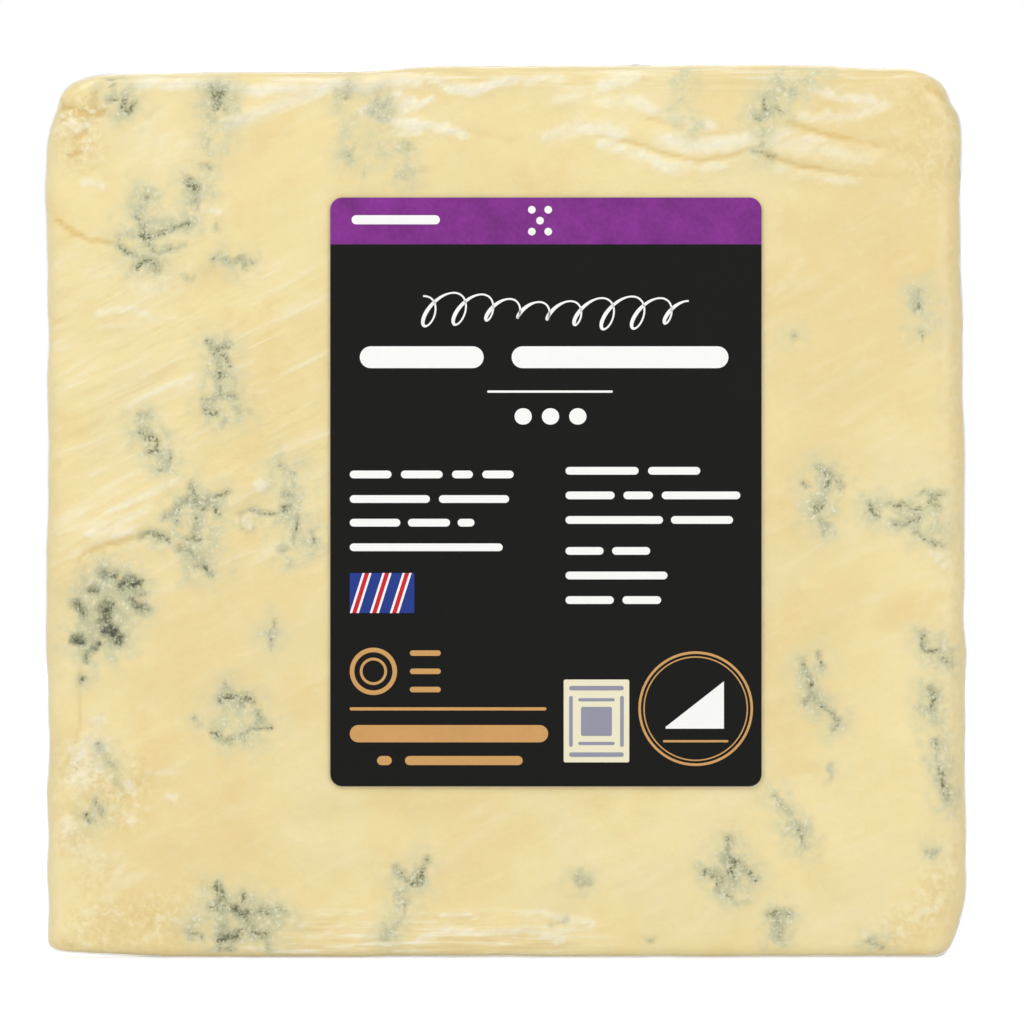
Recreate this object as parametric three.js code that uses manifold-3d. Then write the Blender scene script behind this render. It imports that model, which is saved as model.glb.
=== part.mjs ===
// A wedge of blue cheese, cut from a tall round wheel and standing on its flat end.
//
// It is three pieces: the wedge itself (paste and natural rind grew as one solid), the clear
// film that wraps it tightly, and the paper label stuck on the film over one cut face.
//
// Frame, in millimetres: +Z up, the labelled cut face looks along -Y, the thin edge (the middle
// of the wheel) is at -X and the curved rind at +X. The origin is the middle of the bottom.

import * as THREE from 'three';
import { mergeVertices } from 'three/addons/utils/BufferGeometryUtils.js';
import Module from 'manifold-3d';

// ---- Driving dimensions ------------------------------------------------------------------

const FACE_WIDTH = 101.6;        // wrapped cut face, thin edge to rind, before it settles
const HEIGHT = 98.3;             // wrapped height, which is the thickness of the disc it was cut from
const WEDGE_ANGLE = THREE.MathUtils.degToRad(20);
const THIN_EDGE_RADIUS = 3.0;    // blunt edge where the two cut faces meet
const RIND_EDGE_RADIUS = 2.75;   // where a cut face meets the rind
const END_EDGE_RADIUS = 1.6;     // round the two flat ends

const FILM_THICKNESS = 0.1;
const FILM_GAP = 0.25;           // slack between the film and the cheese
const SEAM_SLIT = { width: 0.5, height: 60 };

const LABEL = { width: 47.5, height: 64.8, radius: 1.4, thickness: 0.1 };
const LABEL_GAP = 0.05;          // the glue line between label and film
const LABEL_OFFSET_X = 4.3;      // label centre, from the middle of the cut face
const LABEL_BOTTOM = 18.9;       // label's lower edge above the base

// How far the soft wedge has settled out of a true sector.
const THIN_EDGE_LEAN = { inset: 2.6, reach: 12 };     // thin edge leans in under the top end
const RIND_LEAN = 1.0;                                // rind leans in from base to top
const RIND_TOP_EASE = { inset: 4.0, reach: 7.4 };     // worn corner where rind meets top end
const RIND_BASE_EASE = { inset: 2.9, reach: 9.3 };    // worn corner where rind meets base
const TOP_DIP = 1.0;                                  // top end is lower at the thin edge

// How finely the curved surfaces are divided.
const RIND_STEPS = 12;
const CORNER_STEPS = 6;
const HEIGHT_STEPS = 36;
const END_EDGE_STEPS = 4;

// ---- Derived dimensions ------------------------------------------------------------------

const HALF_ANGLE = WEDGE_ANGLE / 2;
const THIN_CENTRE_REACH = THIN_EDGE_RADIUS / Math.sin(HALF_ANGLE);
const THIN_CENTRE_X = THIN_CENTRE_REACH * Math.cos(HALF_ANGLE);
const THIN_EDGE_X = THIN_CENTRE_X - THIN_EDGE_RADIUS;

// The wheel's radius, such that the rounded rind corner is FACE_WIDTH away from the thin edge.
// The corner centre lies at (wheel radius - r) from the middle of the wheel, r off the cut face.
const RIND_CENTRE_X = THIN_EDGE_X + FACE_WIDTH - RIND_EDGE_RADIUS;
const WHEEL_RADIUS = Math.hypot(RIND_CENTRE_X, RIND_EDGE_RADIUS) + RIND_EDGE_RADIUS;

const wasm = await Module();
wasm.setup();

// ---- Helpers -----------------------------------------------------------------------------

function weldedGeometry(geometry) {
  const bare = geometry.clone();
  bare.deleteAttribute('normal');
  bare.deleteAttribute('uv');
  return mergeVertices(bare);
}

function toSolid(geometry) {
  const welded = weldedGeometry(geometry);
  const mesh = new wasm.Mesh({
    numProp: 3,
    vertProperties: new Float32Array(welded.attributes.position.array),
    triVerts: new Uint32Array(welded.index.array),
  });
  return new wasm.Manifold(mesh);
}

function toGeometry(solid) {
  const mesh = solid.getMesh();
  const geometry = new THREE.BufferGeometry();
  geometry.setAttribute('position', new THREE.BufferAttribute(mesh.vertProperties, 3));
  geometry.setIndex(new THREE.BufferAttribute(mesh.triVerts, 1));
  geometry.computeVertexNormals();
  return geometry;
}

function namedMesh(name, geometry, look) {
  const mesh = new THREE.Mesh(geometry, new THREE.MeshStandardMaterial(look));
  mesh.name = name;
  return mesh;
}

// ---- The wedge's shape -------------------------------------------------------------------

// A sector with rounded corners, drawn `inset` inside the wrapped outline. The first cut face
// lies on the X axis, the apex at the origin, and the second face WEDGE_ANGLE away from it.
function sectorOutline(inset) {
  const thinRadius = THIN_EDGE_RADIUS - inset;
  const rindRadius = RIND_EDGE_RADIUS - inset;
  const thinCentre = new THREE.Vector2(THIN_CENTRE_X, THIN_EDGE_RADIUS);
  const frontCentre = new THREE.Vector2(RIND_CENTRE_X, RIND_EDGE_RADIUS);
  const frontCentreAngle = frontCentre.angle();
  const backCentreAngle = WEDGE_ANGLE - frontCentreAngle;
  const backCentre = new THREE.Vector2(frontCentre.length(), 0);
  backCentre.rotateAround(new THREE.Vector2(), backCentreAngle);

  const quarter = Math.PI / 2;
  const outer = WHEEL_RADIUS - inset;
  const arc = (centre, radius, from, to) =>
    new THREE.EllipseCurve(centre.x, centre.y, radius, radius, from, to);
  const frontCorner = arc(frontCentre, rindRadius, -quarter, frontCentreAngle);
  const rind = arc(new THREE.Vector2(), outer, frontCentreAngle, backCentreAngle);
  const backCorner = arc(backCentre, rindRadius, backCentreAngle, WEDGE_ANGLE + quarter);
  const thinEdge = arc(thinCentre, thinRadius, WEDGE_ANGLE + quarter, 3 * quarter);
  const frontFace = new THREE.LineCurve(thinEdge.getPoint(1), frontCorner.getPoint(0));
  const backFace = new THREE.LineCurve(backCorner.getPoint(1), thinEdge.getPoint(0));

  const stretches = [
    [frontFace, 1],
    [frontCorner, CORNER_STEPS],
    [rind, RIND_STEPS],
    [backCorner, CORNER_STEPS],
    [backFace, 1],
    [thinEdge, CORNER_STEPS],
  ];
  return stretches.flatMap(([curve, steps]) => curve.getPoints(steps).slice(0, -1));
}

// 0 at the start of a stretch of length `reach` that ends at distance 0, rising to 1 there.
function easing(distance, reach) {
  const along = THREE.MathUtils.clamp(1 - distance / reach, 0, 1);
  return along * along;
}

// Moves each point of a true sector to where the soft, worn wedge has it. Both moves grow evenly
// from one side to the other, so every level of the wedge keeps straight sides and flat ends.
function settle(geometry) {
  const position = geometry.attributes.position;
  for (let i = 0; i < position.count; i += 1) {
    const x = position.getX(i);
    const z = position.getZ(i);
    const across = (x - THIN_EDGE_X) / FACE_WIDTH;
    const up = z / HEIGHT;
    const leanIn = THIN_EDGE_LEAN.inset * easing(HEIGHT - z, THIN_EDGE_LEAN.reach);
    const easeIn = RIND_LEAN * up
      + RIND_TOP_EASE.inset * easing(HEIGHT - z, RIND_TOP_EASE.reach)
      + RIND_BASE_EASE.inset * easing(z, RIND_BASE_EASE.reach);
    const dip = TOP_DIP * (1 - across) * up ** 4;
    position.setX(i, x + leanIn * (1 - across) - easeIn * across);
    position.setZ(i, z - dip);
  }
  return geometry;
}

// The whole wedge, `inset` inside the wrapped shape on every side.
function wedgeGeometry(inset) {
  const shape = new THREE.Shape(sectorOutline(inset));
  const edge = END_EDGE_RADIUS - inset;
  const geometry = new THREE.ExtrudeGeometry(shape, {
    depth: HEIGHT - 2 * END_EDGE_RADIUS,
    steps: HEIGHT_STEPS,
    bevelThickness: edge,
    bevelSize: edge,
    bevelOffset: -edge,
    bevelSegments: END_EDGE_STEPS,
  });
  geometry.translate(0, 0, END_EDGE_RADIUS);
  return settle(geometry);
}

// ---- The three pieces --------------------------------------------------------------------

function makeCheese() {
  const geometry = weldedGeometry(wedgeGeometry(FILM_THICKNESS + FILM_GAP));
  return namedMesh('cheese', geometry, { color: 0xf0dda8, roughness: 0.6, metalness: 0 });
}

// The film's ends lap over each other along the middle of the hidden cut face. The lap isn't
// welded shut, so a narrow slit runs under it and the film isn't a sealed skin.
function seamSlit() {
  const deep = 8 * (FILM_THICKNESS + FILM_GAP);
  const slit = new THREE.BoxGeometry(SEAM_SLIT.width, deep, SEAM_SLIT.height);
  slit.translate(THIN_EDGE_X + FACE_WIDTH / 2, 0, HEIGHT / 2);
  slit.rotateZ(WEDGE_ANGLE);
  return slit;
}

function makeFilmWrap() {
  const outside = toSolid(wedgeGeometry(0));
  const inside = toSolid(wedgeGeometry(FILM_THICKNESS));
  const film = outside.subtract(inside).subtract(toSolid(seamSlit()));
  const look = { color: 0xf4f6f4, roughness: 0.15, metalness: 0, transparent: true, opacity: 0.25 };
  return namedMesh('film_wrap', toGeometry(film), look);
}

function roundedRectangle(width, height, radius) {
  const quarter = Math.PI / 2;
  const shape = new THREE.Shape();
  shape.absarc(width - radius, radius, radius, -quarter, 0);
  shape.absarc(width - radius, height - radius, radius, 0, quarter);
  shape.absarc(radius, height - radius, radius, quarter, 2 * quarter);
  shape.absarc(radius, radius, radius, 2 * quarter, 3 * quarter);
  return shape;
}

function makeLabel() {
  const outline = roundedRectangle(LABEL.width, LABEL.height, LABEL.radius);
  const plate = new THREE.ExtrudeGeometry(outline, {
    depth: LABEL.thickness,
    bevelEnabled: false,
    curveSegments: 4,
  });
  plate.rotateX(Math.PI / 2);
  const middleX = THIN_EDGE_X + FACE_WIDTH / 2 + LABEL_OFFSET_X;
  plate.translate(middleX - LABEL.width / 2, -LABEL_GAP, LABEL_BOTTOM);
  return namedMesh('label', weldedGeometry(plate), { color: 0x272727, roughness: 0.45, metalness: 0 });
}

// ---- Assembly: stand it on its base, centred over the origin ------------------------------

function standCentred(group) {
  const box = new THREE.Box3().setFromObject(group);
  const middle = box.getCenter(new THREE.Vector3());
  group.position.set(-middle.x, -middle.y, -box.min.z);
  return group;
}

const wedge = new THREE.Group();
wedge.add(makeCheese(), makeFilmWrap(), makeLabel());

export default standCentred(wedge);
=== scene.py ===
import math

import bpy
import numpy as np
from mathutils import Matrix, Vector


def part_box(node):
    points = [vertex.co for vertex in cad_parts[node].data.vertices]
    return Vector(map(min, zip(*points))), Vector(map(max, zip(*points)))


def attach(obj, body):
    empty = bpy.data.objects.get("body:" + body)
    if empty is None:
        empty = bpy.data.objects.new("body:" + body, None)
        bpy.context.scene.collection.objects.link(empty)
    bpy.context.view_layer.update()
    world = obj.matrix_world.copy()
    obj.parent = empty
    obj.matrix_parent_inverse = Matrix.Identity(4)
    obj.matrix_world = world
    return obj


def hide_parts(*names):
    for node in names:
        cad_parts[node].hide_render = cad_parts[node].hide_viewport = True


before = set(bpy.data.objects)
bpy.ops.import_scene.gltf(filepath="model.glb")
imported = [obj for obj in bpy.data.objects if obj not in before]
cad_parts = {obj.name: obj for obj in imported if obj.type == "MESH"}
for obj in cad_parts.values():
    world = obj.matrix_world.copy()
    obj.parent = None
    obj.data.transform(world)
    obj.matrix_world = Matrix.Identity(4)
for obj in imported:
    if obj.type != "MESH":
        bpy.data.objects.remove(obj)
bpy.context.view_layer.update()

# A tall wedge of blue cheese, wrapped tightly in clear film, with a plain label on one cut face.
#
# The wedge stands on its flat end. The labelled cut face looks along -Y, the thin edge (the
# middle of the wheel) is at -X and the rind at +X. Lengths are in millimetres until a mesh is
# made, and meshes are in metres. The cheese and the film are each one grid on the same outline,
# raised by the same unevenness, so that the film follows every fold of the paste.

MM = 0.001
TAU = 2 * math.pi

# ---- Sizes of the wedge, in millimetres --------------------------------------------------

film_low, film_high = (np.array(corner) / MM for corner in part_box("film_wrap"))
label_low, label_high = (np.array(corner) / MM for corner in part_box("label"))

FACE_WIDTH = 101.6
HEIGHT = 98.3
WEDGE_ANGLE = math.radians(20)
THIN_RADIUS = 3.0       # blunt edge between the two cut faces
RIND_RADIUS = 2.75      # edge between a cut face and the rind
END_RADIUS = 1.6        # edge round the flat ends

FILM_INSET = 0.05       # film inside the wrapped outline
CHEESE_INSET = 0.18     # cheese inside the wrapped outline
FILM_THICKNESS = 0.05

FILLET_ROWS = 5
CAP_SHARES = (0.12, 0.3, 0.5, 0.68, 0.84, 0.95)     # rows across a flat end, middle to rim
VEIN_REACH = 4.0        # distances to a vein are kept up to this far

THIN_CENTRE = np.array([THIN_RADIUS / math.tan(WEDGE_ANGLE / 2), THIN_RADIUS])
THIN_EDGE_X = THIN_CENTRE[0] - THIN_RADIUS
RIND_CENTRE = np.array([THIN_EDGE_X + FACE_WIDTH - RIND_RADIUS, RIND_RADIUS])
WHEEL_RADIUS = math.hypot(*RIND_CENTRE) + RIND_RADIUS
RIND_START = math.atan2(RIND_CENTRE[1], RIND_CENTRE[0])
APEX = np.array([film_low[0] - THIN_EDGE_X, film_low[1]])   # middle of the wheel, in the frame


# ---- Number fields -----------------------------------------------------------------------

def smooth(low, high, value):
    """0 at low, 1 at high, and 3t^2 - 2t^3 between them; low may be the larger."""
    t = np.clip((value - low) / (high - low), 0, 1)
    return t * t * (3 - 2 * t)


def bend(value, start, softness):
    """0 well before start, rising as a straight line after it, joined by a hyperbola."""
    past = value - start
    return 0.5 * (past + np.sqrt(past * past + softness * softness))


def within(low, high, fade, value):
    """1 from low to high, falling to 0 over `fade` outside them."""
    return smooth(low - fade, low, value) * smooth(high + fade, high, value)


def waves(points, length, seed):
    """A smooth random field of about unit size: a sum of plane waves in random directions, each
    about `length` mm long."""
    count = 36
    random = np.random.default_rng(seed)
    direction = random.normal(size=(count, 3))
    direction /= np.linalg.norm(direction, axis=1)[:, None]
    rate = TAU / length * random.uniform(0.6, 1.5, count)
    phase = random.uniform(0, TAU, count)
    angle = points @ (direction * rate[:, None]).T + phase
    return np.cos(angle).sum(-1) * math.sqrt(2 / count)


def ridges(across, up, strokes, spread=1.0):
    """The highest soft ridge at each point: strength * exp(-(distance / width)^2), where distance
    is to the stroke's nearest segment."""
    field = np.zeros_like(across)
    for width, strength, points in strokes:
        size = width * spread
        corner = np.array(points if len(points) > 1 else points * 2, float)
        low = corner.min(0) - 3 * size
        high = corner.max(0) + 3 * size
        near = (across > low[0]) & (across < high[0]) & (up > low[1]) & (up < high[1])
        here = np.stack([across[near], up[near]], -1)
        nearest = np.full(len(here), np.inf)
        for a, b in zip(corner[:-1], corner[1:]):
            run = b - a
            share = np.clip((here - a) @ run / max(run @ run, 1e-9), 0, 1)
            gap = here - a - share[:, None] * run
            nearest = np.minimum(nearest, (gap * gap).sum(-1))
        field[near] = np.maximum(field[near], strength * np.exp(-nearest / size ** 2))
    return field


def nearest_stroke(across, up, strokes):
    """How far each point is from the edge of the nearest stroke, mm, up to VEIN_REACH: the
    distance to its nearest segment, less half the stroke's width times its strength squared. A
    weak stroke is held off by up to 0.35 mm, so that it only tints."""
    field = np.full_like(across, VEIN_REACH)
    for width, strength, points in strokes:
        ridge = ridges(across, up, [(VEIN_REACH / 2, 1.0, points)])
        gap = np.sqrt(-np.log(np.maximum(ridge, 1e-9))) * VEIN_REACH / 2
        size = 0.5 * width * strength ** 2 - 0.35 * (1 - strength)
        field = np.minimum(field, gap - size)
    return field


# ---- The wedge's surface -----------------------------------------------------------------

def arc(centre, radius, start, end, share):
    """Points on a circle: the centre plus radius * (cos, sin) of angles from start to end."""
    angle = start + (end - start) * share
    return np.stack([centre[0] + radius * np.cos(angle), centre[1] + radius * np.sin(angle)], -1)


def line(start, end, share):
    """Points on a straight line, at the given shares of the way."""
    return start + (end - start) * share[:, None]


def label_room(grid):
    """1 on the labelled face where the label lies, falling to 0 within 3 mm of it."""
    fade = 3.0
    room = within(label_low[0], label_high[0], fade, grid[..., 0])
    room = room * within(label_low[2], label_high[2], fade, grid[..., 2])
    return room * (grid[..., 1] < APEX[1] + fade)


def plan_outline(inset, steps):
    """The wedge seen from above, `inset` inside the wrapped outline: a sector with its apex at the
    origin whose three corners are arcs. steps gives each stretch's shares, from 0 up to but
    not including 1, in the order front cut, corner, rind, corner, back cut, thin edge."""
    quarter = math.pi / 2
    back_start = WEDGE_ANGLE - RIND_START
    reach = math.hypot(*RIND_CENTRE)
    back_centre = reach * np.array([math.cos(back_start), math.sin(back_start)])
    corner = RIND_RADIUS - inset
    thin = THIN_RADIUS - inset
    front_a = THIN_CENTRE - [0, thin]
    front_b = RIND_CENTRE - [0, corner]
    aside = np.array([-math.sin(WEDGE_ANGLE), math.cos(WEDGE_ANGLE)])
    return np.concatenate([
        line(front_a, front_b, steps[0]),
        arc(RIND_CENTRE, corner, -quarter, RIND_START, steps[1]),
        arc((0, 0), WHEEL_RADIUS - inset, RIND_START, back_start, steps[2]),
        arc(back_centre, corner, back_start, WEDGE_ANGLE + quarter, steps[3]),
        line(back_centre + corner * aside, THIN_CENTRE + thin * aside, steps[4]),
        arc(THIN_CENTRE, thin, WEDGE_ANGLE + quarter, 3 * quarter, steps[5]),
    ])


def even(count):
    """Shares from 0 up to but not including 1."""
    return np.arange(count) / count


def thin_edge_in(z):
    """How far the thin edge stands in, mm: a lean under the top, shallow hollows up its side, less
    a slight swell below the lean, and a round top corner that grows as a square."""
    lean = 0.2 * bend(z, 90.0, 2.0)
    hollows = 0.14 * np.sin(TAU * (z - 12) / 66) ** 2 * (1 - smooth(80, 92, z))
    swell = 0.4 * smooth(80, 86, z) * smooth(96, 90, z)
    corner = 0.38 * np.clip(z - 95.4, 0, None) ** 2
    return lean + hollows - swell + corner


def rind_in(y, z):
    """How far the rind stands in, mm: a steady lean, wear at both ends that grows as a square, and
    a small notch at its upper corner by the labelled face."""
    lean = 0.7 * z / HEIGHT
    wear = 0.08 * np.clip(z - 91, 0, None) ** 2 + 0.027 * np.clip(9.3 - z, 0, None) ** 2
    notch = 0.3 * smooth(93.2, 94.2, z) * smooth(95.6, 94.6, z) * smooth(16, 6, y - APEX[1])
    return lean + wear + notch


def top_dip(x):
    """How much lower the top end is, mm: most by the thin edge, and a little by the rind."""
    by_thin_edge = 0.7 * (1 - smooth(-20, -6, x)) + 0.25 * (1 - smooth(-44, -34, x))
    return by_thin_edge + 0.35 * smooth(36, 46, x) - 0.15


def settle(points):
    """Moves a true sector to where the soft, worn wedge stands. Each point comes in by the thin
    edge's and the rind's amounts, shared out by where it is between them; the top third dips,
    and the base is lifted a little by the thin edge."""
    x, y, z = points[..., 0], points[..., 1], points[..., 2]
    across = (x - film_low[0]) / FACE_WIDTH
    dip = top_dip(x) * np.clip(1.5 * z / HEIGHT - 0.5, 0, 1) ** 2
    lift = 0.62 * (1 - smooth(-52, -33, x)) * np.clip(1 - z / 12, 0, 1) ** 2
    moved_x = x + thin_edge_in(z) * (1 - across) - rind_in(y, z) * across
    return np.stack([moved_x, y, z - dip + lift], -1)


def wedge_grid(inset, steps, side_rows):
    """The whole wedge as a grid: one column for each point of the outline, and rows from the
    middle of the base, out over it, round its edge, up the sides and back over the top."""
    rise = np.linspace(END_RADIUS, HEIGHT - END_RADIUS, side_rows)
    turn = np.linspace(0, math.pi / 2, FILLET_ROWS + 1)[:-1]
    edge = END_RADIUS - inset
    fillet = [(END_RADIUS - edge * math.sin(t), END_RADIUS - edge * math.cos(t)) for t in turn]
    rows = [np.c_[plan_outline(d, steps), np.full(sum(map(len, steps)), z)] for d, z in fillet]
    rows += [np.c_[plan_outline(inset, steps), np.full(sum(map(len, steps)), z)] for z in rise]
    rows += [r * [1, 1, -1] + [0, 0, HEIGHT] for r in rows[:FILLET_ROWS]][::-1]
    caps = []
    for rim in (rows[0], rows[-1]):
        middle = rim.mean(0)
        caps.append([middle + (rim - middle) * share for share in CAP_SHARES])
    grid = np.array(caps[0] + rows + caps[1][::-1])
    grid[..., :2] += APEX
    return settle(grid)


def outward(grid):
    """Unit normals of a grid that is closed along its columns."""
    along = np.roll(grid, -1, 1) - np.roll(grid, 1, 1)
    upward = np.gradient(grid, axis=0)
    normal = np.cross(along, upward)
    return normal / np.maximum(np.linalg.norm(normal, axis=-1), 1e-9)[..., None]


def mesh_object(name, points, quads, triangles=(), shade_smooth=True, scale=MM):
    """Points in millimetres and faces as index rows become an object at the origin."""
    quads = np.array(quads, np.int32).reshape(-1, 4)
    triangles = np.array(triangles, np.int32).reshape(-1, 3)
    mesh = bpy.data.meshes.new(name)
    mesh.vertices.add(len(points))
    mesh.vertices.foreach_set("co", (np.asarray(points) * scale).astype(np.float32).ravel())
    corners = np.concatenate([quads.ravel(), triangles.ravel()])
    starts = np.concatenate([
        np.arange(len(quads)) * 4,
        quads.size + np.arange(len(triangles)) * 3,
    ])
    mesh.loops.add(len(corners))
    mesh.loops.foreach_set("vertex_index", corners)
    mesh.polygons.add(len(starts))
    mesh.polygons.foreach_set("loop_start", starts.astype(np.int32))
    mesh.polygons.foreach_set("use_smooth", np.full(len(starts), shade_smooth))
    mesh.update(calc_edges=True)
    mesh.validate()
    piece = bpy.data.objects.new(name, mesh)
    bpy.context.scene.collection.objects.link(piece)
    return piece


def closed_skin(name, grid):
    """A grid closed along its columns, with one point closing each end."""
    rows, columns = grid.shape[:2]
    points = np.concatenate([grid.reshape(-1, 3), grid[:1].mean(1), grid[-1:].mean(1)])
    i = np.arange(rows - 1)[:, None] * columns
    j = np.arange(columns)[None, :]
    k = (j + 1) % columns
    quads = np.stack([i + j, i + k, i + columns + k, i + columns + j], -1)
    low, high = rows * columns, rows * columns + 1
    last = (rows - 1) * columns
    base = np.stack([np.full(columns, low), k[0], j[0]], -1)
    top = np.stack([np.full(columns, high), last + j[0], last + k[0]], -1)
    return mesh_object(name, points, quads, np.concatenate([base, top]))


def keep_field(piece, name, field):
    """Stores a grid of numbers on the piece's points, with the mean at the two end points."""
    values = np.concatenate([field.ravel(), [field[0].mean()], [field[-1].mean()]])
    attribute = piece.data.attributes.new(name, "FLOAT", "POINT")
    attribute.data.foreach_set("value", values.astype(np.float32))


# ---- Veins, creases and smears on the labelled cut face -----------------------------------
# Each stroke is (width, strength, points), laid out with x from the middle, z above the base.

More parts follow.
